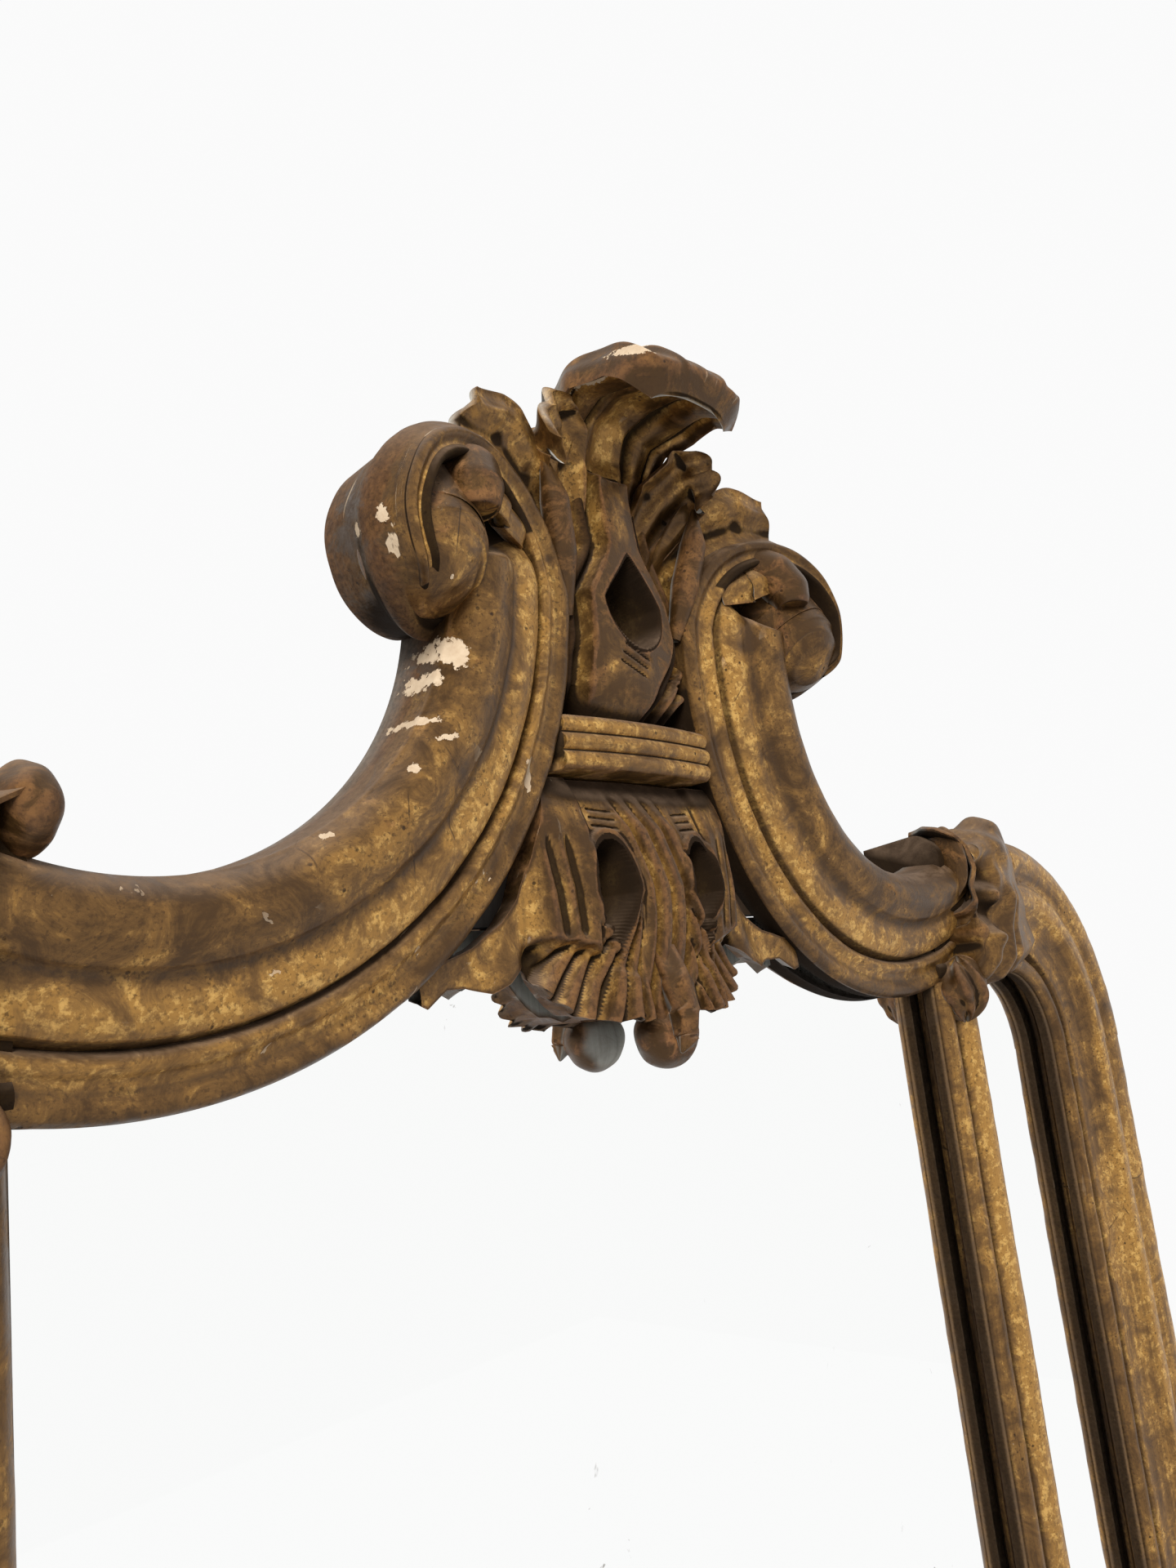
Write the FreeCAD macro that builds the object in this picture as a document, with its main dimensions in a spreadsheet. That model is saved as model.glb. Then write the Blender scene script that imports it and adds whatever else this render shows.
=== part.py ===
import FreeCAD, Part
import math
import os
import Sketcher
from FreeCAD import Placement, Rotation, Vector

# Carved giltwood wall mirror with a double frame: a main plate inside a narrow inner
# frame, margin plates round it, an outer frame with rounded corners, and a carved crest.
# +X is to the viewer's right, +Z up, the wall is the plane Y = 0 and the front looks to -Y.
# The origin lies on the wall, midway between the barrels of the two hanging rings.

SIZES = (
    # Frames and glass, seen from the front
    ("opening_width", 500, "sight width of the main plate"),
    ("opening_height", 924, "sight height of the main plate at its corners"),
    ("inner_width", 40, "width of the inner moulding"),
    ("margin_width", 112, "sight width of the margin plates"),
    ("outer_width", 84, "width of the outer moulding"),
    ("corner_radius", 52, "sight radius of the outer frame's corners"),
    ("inner_radius", 30, "sight radius of the inner frame's lower corners"),
    ("head_height", 120, "top corners of the main opening above the hanging line"),
    ("rail_step", 2, "top rail's sight edge above those corners"),
    ("plate_head", 45, "top of the main plate above those corners"),
    # Depths, from the wall to the front
    ("board_recess", 12, "wall to the back boards"),
    ("board_thickness", 6.5, "back boards"),
    ("glass_thickness", 5, "mirror plates"),
    ("lip_thickness", 7, "wood in front of the plates at a sight edge"),
    ("inner_rise", 12, "inner moulding in front of its sight edge"),
    ("outer_rise", 21, "outer moulding in front of its sight edge"),
    ("rabbet_width", 8, "overlap of a moulding on its plate"),
    ("plate_play", 1, "room round a plate or board in its rabbet"),
    # Crest
    ("crest_gap", 37, "half of the gap between the two C-scrolls"),
    ("leaf_stand", 107, "top of the upper leaf above the volutes' eyes"),
    ("crest_projection", 80, "tip of the upper leaf in front of the sight edge"),
    ("scroll_width", 66, "width of a C-scroll's moulding"),
    ("scroll_rise", 20, "C-scroll in front of its sight edge"),
    ("scroll_inset", 35, "scroll centre inside the sight edge of the opening"),
    ("scroll_drop", 3, "lowest point of a scroll below the corners"),
    ("scroll_turn", 106, "degrees that the C turns below its volute"),
    ("crest_lean", 5, "degrees that the scrolls lean forward"),
    ("eye_gap", 4, "volute's eye outside the end of the C"),
    ("eye_radius", 20, "ball in the volute's eye"),
    ("volute_push", 12, "volute's eye in front of the scroll"),
    ("side_leaf_size", 40, "side leaf over a volute"),
    ("leaf_eye_width", 18, "each eye of the lower leaf"),
    ("leaf_eye_height", 41, "each eye of the lower leaf"),
    ("leaf_eye_gap", 29, "eyes of the lower leaf from the middle"),
    ("crest_eye_width", 26, "eye of the upper leaf"),
    ("crest_eye_height", 34, "eye of the upper leaf"),
    ("eye_floor", 2, "floor of the eyes in front of the sight edge"),
    ("carving_play", 1.5, "leaves and band inside the scrolls"),
    ("band_height", 22, "reeded band"),
    ("band_drop", 71, "lower edge of the reeded band below the volutes' eyes"),
    ("band_rise", 17, "reeded band in front of the sight edge"),
    ("bead_radius", 13, "pendant bead"),
    ("bead_level", 2, "bead's centre below the corners"),
    ("bead_rise", 8.5, "bead's centre in front of the sight edge"),
    ("clasp_length", 108, "corner clasp, along the top rail"),
    ("clasp_reach", 4, "corner clasp inside the sight edge of the opening"),
    ("clasp_rise", 29, "corner clasp in front of the sight edge"),
    ("clasp_rim", 4, "wall of the clasp's open mouth"),
    ("knot_radius", 15, "knot at the head of an inner upright"),
    ("foot_leaf_width", 62, "leaf across a lower corner"),
    ("foot_leaf_rise", 22, "leaf across a lower corner, in front of the sight edge"),
    # Back and hanging
    ("board_seam", 0.5, "gap between two back boards"),
    ("mitre_seam", 0.4, "gap between two margin plates"),
    ("batten_width", 40, "crest batten"),
    ("batten_reach", 5, "upper end of a batten above the volutes' eyes"),
    ("batten_offset", 50, "crest batten from the middle"),
    ("batten_drop", 90, "lower end of a batten below the corners"),
    ("block_length", 60, "glue block"),
    ("block_width", 14, "glue block"),
    ("screw_radius", 1.8, "wood screw's shank"),
    ("screw_head", 3.6, "wood screw's head radius"),
    ("screw_head_height", 2, "wood screw's head"),
    ("screw_bite", 9, "wood screw into the wood behind the board"),
    ("dowel_radius", 5, "frame dowel"),
    ("dowel_length", 50, "frame dowel"),
    ("pocket_depth", 7, "recess for a hanging plate"),
    ("pocket_width", 44, "recess for a hanging plate"),
    ("pocket_head", 56, "recess above the ring's barrel"),
    ("pocket_foot", 30, "recess below the ring's barrel"),
    ("plate_width", 22, "hanging plate"),
    ("plate_length", 48, "hanging plate above the barrel's axis"),
    ("plate_metal", 2, "hanging plate's thickness"),
    ("barrel_wall", 1.2, "metal round the ring's bar"),
    ("barrel_length", 16, "barrel of a hanging plate"),
    ("ring_wire", 2, "radius of the ring's wire"),
    ("ring_play", 0.06, "bar in its barrel, each side"),
    ("ring_bar", 11, "half of the ring's straight bar"),
    ("ring_bend", 5, "corner radius of the ring"),
    ("overrun", 5, "how far cuts pass a face"),
)

BACK_SCREW_ROWS_SHARES = (0.1, 0.36, 0.63, 0.9)
BLOCK_ROWS_SHARES = (0.12, 0.5, 0.88)
BATTEN_SCREW_ROWS_SHARES = (0.1, 0.32, 0.72, 0.9)
PLATE_SCREW_ROWS_SHARES = (0.36, 0.82)

# A moulding's front, from its sight edge outwards: place across the width, rise in front
# of the sight edge, and the bow of the stretch that follows (a share of its chord).
OUTER_CONTOUR_SHARES = (
    (0.0, 0.0, 0.0),
    (0.01, 0.12, 0.3),
    (0.13, 0.14, 0.0),
    (0.16, -0.08, 0.0),
    (0.2, 0.22, -0.08),
    (0.46, 0.58, 0.0),
    (0.48, 0.7, 0.1),
    (0.64, 0.68, 0.0),
    (0.66, 0.6, 0.3),
    (1.0, 0.1, 0.0),
)
INNER_CONTOUR_SHARES = (
    (0.0, 0.0, 0.0),
    (0.02, 0.12, 0.28),
    (0.3, 0.3, 0.0),
    (0.36, 0.08, 0.0),
    (0.4, 0.4, 0.26),
    (0.94, 0.2, 0.0),
    (1.0, 0.0, 0.0),
)
SCROLL_CONTOUR_SHARES = (
    (0.0, 0.0, 0.0),
    (0.02, 0.12, 0.2),
    (0.11, 0.14, -0.18),
    (0.21, 0.2, 0.3),
    (0.285, 0.2, 0.0),
    (0.3, -0.08, 0.0),
    (0.325, 0.3, 0.1),
    (0.54, 0.44, -0.14),
    (0.63, 0.66, 0.0),
    (0.65, 0.68, 0.3),
    (1.0, 0.3, 0.0),
)
SIDE_FOOT_SHARE = 0.96

# Volute: its width shrinks from the whole to the tail's share while it turns round its eye.
VOLUTE_STEPS = 18
VOLUTE_TAIL_SHARE = 0.37
VOLUTE_EASE = 1.6
VOLUTE_START_DEGREES = 180
VOLUTE_TURN_DEGREES = 270
VOLUTE_HEAD_SHARE = 0.67

doc = FreeCAD.newDocument("wall_mirror")
sheet = doc.addObject("Spreadsheet::Sheet", "Sizes")


class Dim:
    """A length together with the sheet formula that gives it."""

    def __init__(self, value, formula):
        self.value = float(value)
        self.formula = formula

    @staticmethod
    def of(other):
        return other if isinstance(other, Dim) else Dim(other, repr(other))

    def joined(self, other, sign, value):
        return Dim(value, f"({self.formula} {sign} {other.formula})")

    def __add__(self, other):
        other = Dim.of(other)
        return self.joined(other, "+", self.value + other.value)

    def __sub__(self, other):
        other = Dim.of(other)
        return self.joined(other, "-", self.value - other.value)

    def __mul__(self, other):
        other = Dim.of(other)
        return self.joined(other, "*", self.value * other.value)

    def __truediv__(self, other):
        other = Dim.of(other)
        return self.joined(other, "/", self.value / other.value)

    def __neg__(self):
        return Dim(-self.value, f"(0 - {self.formula})")

    def root(self):
        return Dim(math.sqrt(self.value), f"sqrt({self.formula})")

    def sine(self):
        return Dim(math.sin(math.radians(self.value)), f"sin({self.formula})")

    def cosine(self):
        return Dim(math.cos(math.radians(self.value)), f"cos({self.formula})")


def fill_sheet():
    """Write every driving size with its alias and return them by name."""
    sizes = {}
    for row, (alias, value, meaning) in enumerate(SIZES, start=1):
        sheet.set(f"A{row}", meaning)
        sheet.set(f"B{row}", str(value))
        sheet.setAlias(f"B{row}", alias)
        sizes[alias] = Dim(value, f"Sizes.{alias}")
    doc.recompute()
    return sizes


size = fill_sheet()
ZERO = Dim(0, "0")
HALF_SHARE = 0.5

# Depths
board_front = -(size["board_recess"] + size["board_thickness"])
board_back = -size["board_recess"]
glass_front = board_front - size["glass_thickness"]
sight_front = glass_front - size["lip_thickness"]

# Lines of the front view
opening_side = size["opening_width"] * HALF_SHARE
inner_side = opening_side + size["inner_width"]
outer_side = inner_side + size["margin_width"]
corner_x = outer_side - size["corner_radius"]
corner_line = size["head_height"]
rail_line = corner_line + size["rail_step"]
shoulder_z = rail_line - size["corner_radius"]
opening_foot = corner_line - size["opening_height"]
inner_foot = opening_foot - size["inner_width"]
outer_foot = inner_foot - size["margin_width"]
foot_corner_z = outer_foot + size["corner_radius"]
inner_corner_x = opening_side - size["inner_radius"]
inner_corner_z = opening_foot + size["inner_radius"]
play = size["plate_play"]
plate_reach = size["rabbet_width"] - play
plate_top = corner_line + size["plate_head"]

# Scrolls
crest_gap = size["crest_gap"]
scroll_x = opening_side - size["scroll_inset"]
scroll_radius = scroll_x - crest_gap
scroll_up = scroll_radius - size["scroll_drop"]
scroll_z = corner_line + scroll_up
crest_top = scroll_z + size["leaf_stand"]
band_level = scroll_up - size["band_drop"]
volute_reach = size["scroll_width"] + size["eye_gap"]
volute_top = scroll_z + volute_reach * VOLUTE_HEAD_SHARE


def gap_at(level):
    """Half of the gap between the two scrolls at a level above the corners."""
    below = scroll_up - level
    reach = (scroll_radius * scroll_radius - below * below).root()
    return scroll_x - reach


def bind(thing, prop, dim):
    thing.setExpression(prop, dim.formula)


def place(thing, x=ZERO, y=ZERO, z=ZERO, rotation=None):
    if rotation is not None:
        thing.Placement = Placement(Vector(), rotation)
    for axis, dim in (("x", x), ("y", y), ("z", z)):
        bind(thing, f"Placement.Base.{axis}", dim)


def origin_item(body, role):
    return next(item for item in body.Origin.OriginFeatures if item.Role == role)


def new_body(label, plane):
    """A body with one sketch on one of its own origin planes."""
    body = doc.addObject("PartDesign::Body", label)
    sketch = body.newObject("Sketcher::SketchObject", f"{label}_outline")
    sketch.AttachmentSupport = (origin_item(body, plane), [""])
    sketch.MapMode = "FlatFace"
    return body, sketch


def fix_point(sketch, geo, pos, dims, name):
    """Hold one corner of an outline at the place that the sheet gives it."""
    for kind, axis, dim in (("DistanceX", -2, dims[0]), ("DistanceY", -1, dims[1])):
        if dim is ZERO:
            sketch.addConstraint(Sketcher.Constraint("PointOnObject", geo, pos, axis))
            continue
        rule = Sketcher.Constraint(kind, -1, 1, geo, pos, dim.value)
        index = sketch.addConstraint(rule)
        sketch.renameConstraint(index, f"{name}_{kind[-1].lower()}")
        bind(sketch, f"Constraints.{name}_{kind[-1].lower()}", dim)


def draw(sketch, points):
    """Draw a closed outline of (x, y, bow) points: a bow bulges to the right of the way."""
    edges = []
    for step, (x, y, bow) in enumerate(points):
        next_x, next_y, _ = points[(step + 1) % len(points)]
        start = Vector(x.value, y.value, 0)
        end = Vector(next_x.value, next_y.value, 0)
        if bow:
            way = end - start
            middle = (start + end) * HALF_SHARE + Vector(way.y, -way.x, 0) * bow
            geo = sketch.addGeometry(Part.Arc(start, middle, end))
            turned = sketch.getPoint(geo, 1).distanceToPoint(start) > way.Length * HALF_SHARE
        else:
            geo = sketch.addGeometry(Part.LineSegment(start, end))
            turned = False
        edges.append((geo, 2 if turned else 1, 1 if turned else 2))
    for step, (geo, first, last) in enumerate(edges):
        next_geo, next_first, _ = edges[(step + 1) % len(edges)]
        sketch.addConstraint(Sketcher.Constraint("Coincident", geo, last, next_geo, next_first))
    for step, (x, y, bow) in enumerate(points):
        geo, first, _ = edges[step]
        fix_point(sketch, geo, first, (x, y), f"corner{step}")
        if bow:
            next_x, next_y, _ = points[(step + 1) % len(points)]
            wide = next_x - x
            high = next_y - y
            radius_share = (0.25 + bow * bow) / (2 * abs(bow))
            radius = (wide * wide + high * high).root() * radius_share
            index = sketch.addConstraint(Sketcher.Constraint("Radius", geo, radius.value))
            sketch.renameConstraint(index, f"bow{step}")
            bind(sketch, f"Constraints.bow{step}", radius)


def pad(body, sketch, length, reverse=False):
    feature = body.newObject("PartDesign::Pad", f"{body.Name}_pad")
    feature.Profile = sketch
    feature.Reversed = reverse
    bind(feature, "Length", length)
    return body


def revolve(body, sketch, angle, reverse=False):
    feature = body.newObject("PartDesign::Revolution", f"{body.Name}_turn")
    feature.Profile = sketch
    feature.ReferenceAxis = (origin_item(body, "Y_Axis"), [""])
    feature.Reversed = reverse
    bind(feature, "Angle", angle)
    return body


def eased(rows, steps):
    """Rows of shares with more rows between them, on a smooth curve through the given ones."""
    result = []
    for index in range(len(rows) - 1):
        before = rows[max(index - 1, 0)]
        after = rows[min(index + 2, len(rows) - 1)]
        for step in range(steps):
            t = step / steps
            result.append(tuple(
                b + (c - a) * t / 2 + (a - 2.5 * b + 2 * c - d / 2) * t ** 2
                + (1.5 * (b - c) + (d - a) / 2) * t ** 3
                for a, b, c, d in zip(before, rows[index], rows[index + 1], after)
            ))
    return result + [tuple(rows[-1])]


def loft(label, sections):
    """A solid through closed outlines, each of which stands on its own plane."""
    outlines = []
    for step, (points, x, y, z, rotation) in enumerate(sections):
        sketch = doc.addObject("Sketcher::SketchObject", f"{label}_section{step}")
        draw(sketch, points)
        place(sketch, x, y, z, rotation)
        outlines.append(sketch)
    thing = doc.addObject("Part::Loft", label)
    thing.Sections = outlines
    thing.Solid = True
    thing.Ruled = True
    return thing


def box(label, x, y, z, length, width, height):
    thing = doc.addObject("Part::Box", label)
    bind(thing, "Length", length)
    bind(thing, "Width", width)
    bind(thing, "Height", height)
    place(thing, x, y, z)
    return thing


ACROSS_AXIS = Vector(1, 0, 0)
DEPTH_AXIS = Vector(0, 1, 0)
UP_AXIS = Vector(0, 0, 1)
QUARTER_DEGREES = 90
ALONG_WIDTH = Rotation(DEPTH_AXIS, QUARTER_DEGREES)
TOWARD_FRONT = Rotation(ACROSS_AXIS, QUARTER_DEGREES)


def cylinder(label, radius, length, x, y, z, rotation=None):
    thing = doc.addObject("Part::Cylinder", label)
    bind(thing, "Radius", radius)
    bind(thing, "Height", length)
    place(thing, x, y, z, rotation)
    return thing


def fuse(label, things):
    thing = doc.addObject("Part::MultiFuse", label)
    thing.Shapes = things
    return thing


def cut(label, base, tools):
    thing = doc.addObject("Part::Cut", label)
    thing.Base = base
    thing.Tool = tools[0] if len(tools) == 1 else group(f"{label}_cutters", tools)
    return thing


def common(label, first, second):
    thing = doc.addObject("Part::Common", label)
    thing.Base = first
    thing.Tool = second
    return thing


def group(label, things):
    thing = doc.addObject("Part::Compound", label)
    thing.Links = things
    return thing


def mirror(label, source):
    thing = doc.addObject("Part::Mirroring", label)
    thing.Source = source
    thing.Normal = (1, 0, 0)
    return thing


nodes = {}


def keep(node, thing):
    """Name a finished piece."""
    thing.Label = node
    nodes[node] = thing
    return thing


def keep_pair(name, thing):
    """Name a finished right-hand piece and its left-hand twin."""
    keep(f"right_{name}", thing)
    return keep(f"left_{name}", mirror(f"left_{name}", thing))


# Mouldings

def front_line(contour_shares, width, rise):
    """The front of a moulding, in place across and depth."""
    return [
        (width * across if across else ZERO, sight_front - rise * up, bow)
        for across, up, bow in contour_shares
    ]


def outer_section():
    """Outer moulding: front, outer side, back on the wall, rabbet for plate and board."""
    width = size["outer_width"]
    line = front_line(OUTER_CONTOUR_SHARES, width, size["outer_rise"])
    return line + [
        (width * SIDE_FOOT_SHARE, ZERO, 0.0),
        (size["rabbet_width"], ZERO, 0.0),
        (size["rabbet_width"], glass_front, 0.0),
        (ZERO, glass_front, 0.0),
    ]


def inner_section():
    """Inner moulding: front, a rabbet on each side and a web that meets the back boards."""
    width = size["inner_width"]
    rabbet = size["rabbet_width"]
    line = front_line(INNER_CONTOUR_SHARES, width, size["inner_rise"])
    return line + [
        (width, glass_front, 0.0),
        (width - rabbet, glass_front, 0.0),
        (width - rabbet, board_front, 0.0),
        (rabbet, board_front, 0.0),
        (rabbet, glass_front, 0.0),
        (ZERO, glass_front, 0.0),
    ]


def scroll_section():
    """Scroll moulding, from the edge over the glass to the outer edge; its back is trimmed."""
    width = size["scroll_width"]
    line = front_line(SCROLL_CONTOUR_SHARES, width, size["scroll_rise"])
    return line + [(width, ZERO, 0.0), (ZERO, ZERO, 0.0)]


def upright(label, section, x, foot, length):
    body, sketch = new_body(label, "XY_Plane")
    draw(sketch, section)
    pad(body, sketch, length)
    place(body, x, ZERO, foot)
    return body


def rail(label, section, x, z, length, downwards):
    """A level moulding along +X; its section grows up or down from the sight edge."""
    body, sketch = new_body(label, "YZ_Plane")
    points = []
    for across, depth, bow in section:
        if downwards:
            level = ZERO if across is ZERO else -across
            points.append((depth, level, bow))
        else:
            points.append((depth, across, -bow))
    draw(sketch, points)
    pad(body, sketch, length)
    place(body, x, ZERO, z)
    return body


QUARTER_TURN = Dim(QUARTER_DEGREES, str(QUARTER_DEGREES))


def corner(label, section, x, z, radius, upwards):
    """A quarter turn of a moulding round an axis that points at the wall."""
    body, sketch = new_body(label, "XY_Plane")
    draw(sketch, [(across + radius, depth, bow) for across, depth, bow in section])
    revolve(body, sketch, QUARTER_TURN, reverse=upwards)
    place(body, x, ZERO, z)
    return body


outer_length = shoulder_z - foot_corner_z
outer_upright = upright("outer_upright", outer_section(), outer_side, foot_corner_z, outer_length)
shoulder = corner("shoulder", outer_section(), corner_x, shoulder_z, size["corner_radius"], True)
foot_corner = corner(
    "foot_corner", outer_section(), corner_x, foot_corner_z, size["corner_radius"], False
)
rail_length = corner_x - opening_side
top_rail = rail("top_rail", outer_section(), opening_side, rail_line, rail_length, False)
foot_rail = rail("foot_rail", outer_section(), -corner_x, outer_foot, corner_x + corner_x, True)

inner_length = rail_line - inner_corner_z
inner_upright = upright("inner_upright", inner_section(), opening_side, inner_corner_z, inner_length)
inner_corner = corner(
    "inner_corner", inner_section(), inner_corner_x, inner_corner_z, size["inner_radius"], False
)
sill_length = inner_corner_x + inner_corner_x
inner_rail = rail("inner_rail", inner_section(), -inner_corner_x, opening_foot, sill_length, True)


# C-scroll and volute

lean = size["crest_lean"]
LEAN_ROTATION = Rotation(ACROSS_AXIS, lean.value)
lean_y = sight_front - sight_front * lean.cosine() - scroll_up * lean.sine()
lean_z = corner_line - sight_front * lean.sine() + scroll_up * lean.cosine()
eye_x = scroll_x - scroll_radius + volute_reach


def behind_carving():
    """Everything behind the plane that the carvings are glued to."""
    reach = outer_side + outer_side
    return box("behind_carving", -reach, glass_front, ZERO, reach + reach, reach, reach + reach)


def scroll_arc():
    """The C itself, turned about its own axis and leaning from the sight edge."""
    body, sketch = new_body("scroll_arc", "XY_Plane")
    draw(sketch, [(across - scroll_radius, depth, bow) for across, depth, bow in scroll_section()])
    revolve(body, sketch, size["scroll_turn"], reverse=True)
    place(body, scroll_x, lean_y, lean_z, LEAN_ROTATION)
    bind(body, "Placement.Rotation.Angle", lean)
    return body


def volute():
    """The scroll's section, lofted round its eye while it shrinks and comes forward."""
    sections = []
    for step in range(VOLUTE_STEPS + 1):
        turn_share = step / VOLUTE_STEPS
        shrink_share = (1 - turn_share) ** VOLUTE_EASE
        width_share = VOLUTE_TAIL_SHARE + (1 - VOLUTE_TAIL_SHARE) * shrink_share
        points = []
        for across, depth, bow in scroll_section():
            out = (volute_reach - across) * width_share
            forward = depth if depth is ZERO else depth - size["volute_push"] * turn_share
            points.append((out, forward, 0.0))
        angle = VOLUTE_START_DEGREES - turn_share * VOLUTE_TURN_DEGREES
        turned = LEAN_ROTATION * Rotation(DEPTH_AXIS, -angle)
        sections.append((points, eye_x, lean_y, lean_z, turned))
    return loft("volute", sections)


def eye_ball():
    """Ball that the volute winds up to, on a short stem."""
    radius = size["eye_radius"]
    ball = doc.addObject("Part::Sphere", "eye_ball")
    bind(ball, "Radius", radius)
    ahead = sight_front - size["scroll_rise"] * HALF_SHARE
    place(ball, eye_x, lean_y + ahead, lean_z)
    stem = cylinder("eye_stem", radius, -ahead, eye_x, lean_y, lean_z, TOWARD_FRONT)
    return [ball, stem]


behind = behind_carving()
right_scroll = cut("scroll", fuse("scroll_block", [scroll_arc(), volute()] + eye_ball()), [behind])


# Leaves: the outline from the front and the outline from the side, each run through the other

def front_form(label, points, depth, behind):
    """An outline in X and Z, run forward from a plane."""
    body, sketch = new_body(label, "XZ_Plane")
    draw(sketch, points)
    pad(body, sketch, depth)
    place(body, ZERO, behind, ZERO)
    return body


def side_form(label, points, left, length):
    """An outline in Y and Z, run along X."""
    body, sketch = new_body(label, "YZ_Plane")
    draw(sketch, points)
    pad(body, sketch, length)
    place(body, left, ZERO, ZERO)
    return body


def both_sides(half):
    """Mirror the right half of an outline, listed from its foot to its head."""
    left = []
    for step in range(len(half) - 1, -1, -1):
        x, y, _ = half[step]
        bow = half[step - 1][2] if step else 0.0
        left.append((-x, y, bow))
    return half + left


EYE_HEAD_BOW_SHARE = 0.45
EYE_SIDE_BOW_SHARE = 0.07


def leaf_eye(label, x, tip, wide, high):
    """Teardrop hole that a carver sinks between two lobes: a tip, two sides and a round head."""
    half = wide * HALF_SHARE
    head = tip + (high - half if high.value > 0 else high + half)
    beside = half if high.value > 0 else -half
    points = [
        (x, tip, EYE_SIDE_BOW_SHARE),
        (x + beside, head, EYE_HEAD_BOW_SHARE),
        (x - beside, head, EYE_SIDE_BOW_SHARE),
    ]
    return front_form(label, points, size["crest_projection"], sight_front - size["eye_floor"])


LEAF_STEPS = 2

# Upper leaf, section by section up its spine: how far in front of the sight edge, how far up,
# half of its width, its thickness, and how far it has turned forward, in quarter turns.
UPPER_SPINE_SHARES = (
    (0.075, 0.0, 0.57, 0.4, 0.0),
    (0.05, 0.24, 0.81, 0.35, 0.0),
    (0.03, 0.5, 0.98, 0.31, 0.0),
    (0.025, 0.68, 1.16, 0.28, 0.0),
    (0.04, 0.81, 1.5, 0.23, 0.09),
    (0.175, 0.91, 1.27, 0.18, 0.5),
    (0.425, 0.955, 1.0, 0.16, 0.94),
    (0.7, 0.925, 0.84, 0.15, 1.24),
    (0.87, 0.845, 0.6, 0.13, 1.56),
    (0.945, 0.75, 0.25, 0.09, 1.83),
)
UPPER_FLUTE_SHARES = (
    (0.1, -0.36),
    (0.3, -0.5),
    (0.5, -0.16),
    (0.76, -0.42),
    (1.0, 0.05),
    (0.6, 0.5),
)
UPPER_EYE_SHARE = 0.47


def upper_leaf():
    """Standing leaf with five flutes, whose head curls forward and down over the crest."""
    foot = corner_line + band_level + size["band_height"] + size["carving_play"]
    sections = []
    for ahead, up, wide, thick, tilt in eased(UPPER_SPINE_SHARES, LEAF_STEPS):
        half = [
            (crest_gap * (wide * across), size["crest_projection"] * (thick * depth), 0.0)
            for across, depth in UPPER_FLUTE_SHARES
        ]
        y = sight_front - size["crest_projection"] * ahead
        z = foot + (crest_top - foot) * up
        turned = Rotation(ACROSS_AXIS, QUARTER_DEGREES * tilt)
        sections.append((both_sides(half), ZERO, y, z, turned))
    tip = foot + (crest_top - foot) * UPPER_EYE_SHARE
    eye = leaf_eye("upper_eye", ZERO, tip, size["crest_eye_width"], -size["crest_eye_height"])
    return cut("upper_leaf", loft("upper_leaf_form", sections), [behind, eye])


# Side leaf: how far out from the upper leaf, how far above the volute, half-width, rise, and
# how far it has turned outwards, in quarter turns.
SIDE_SPINE_SHARES = (
    (-0.1, -0.42, 0.3, 0.26, 0.44),
    (0.48, 0.0, 0.5, 0.38, 0.61),
    (1.12, 0.3, 0.43, 0.42, 0.89),
    (1.65, 0.25, 0.25, 0.42, 1.28),
    (1.8, -0.02, 0.1, 0.38, 1.72),
)
SIDE_FLUTE_SHARES = ((0.12, 0.8), (0.36, 1.0), (0.62, 0.55), (1.0, 0.4))
SIDE_BACK_SHARE = 0.94


def side_leaf(upper):
    """Small leaf that curls over a volute, seated against the upper leaf."""
    reach = size["side_leaf_size"]
    sections = []
    for out, up, wide, rise, tilt in eased(SIDE_SPINE_SHARES, LEAF_STEPS):
        half = [
            (reach * (wide * across), sight_front - size["crest_projection"] * (rise * ahead), 0.0)
            for across, ahead in SIDE_FLUTE_SHARES
        ]
        half.append((reach * (wide * SIDE_BACK_SHARE), glass_front, 0.0))
        x = crest_gap + reach * out
        z = volute_top + reach * up
        turned = Rotation(DEPTH_AXIS, QUARTER_DEGREES * tilt)
        sections.append((both_sides(half), x, ZERO, z, turned))
    return cut("side_leaf", loft("side_leaf_form", sections), [right_scroll, upper])


# Lower leaf, level by level: share of the height to the band, of the gap, and its rise.
LOWER_SPINE_SHARES = (
    (0.05, 0.08, 0.14),
    (0.2, 0.5, 0.17),
    (0.4, 0.84, 0.21),
    (0.6, 0.94, 0.21),
    (0.8, 0.96, 0.17),
    (1.0, 0.96, 0.1),
)
LOWER_FLUTE_SHARES = (
    (0.06, 0.8),
    (0.2, 1.0),
    (0.36, 0.5),
    (0.55, 0.95),
    (0.74, 0.4),
    (0.9, 0.65),
    (1.0, 0.2),
)
LOWER_EYE_SHARE = 0.32


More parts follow.
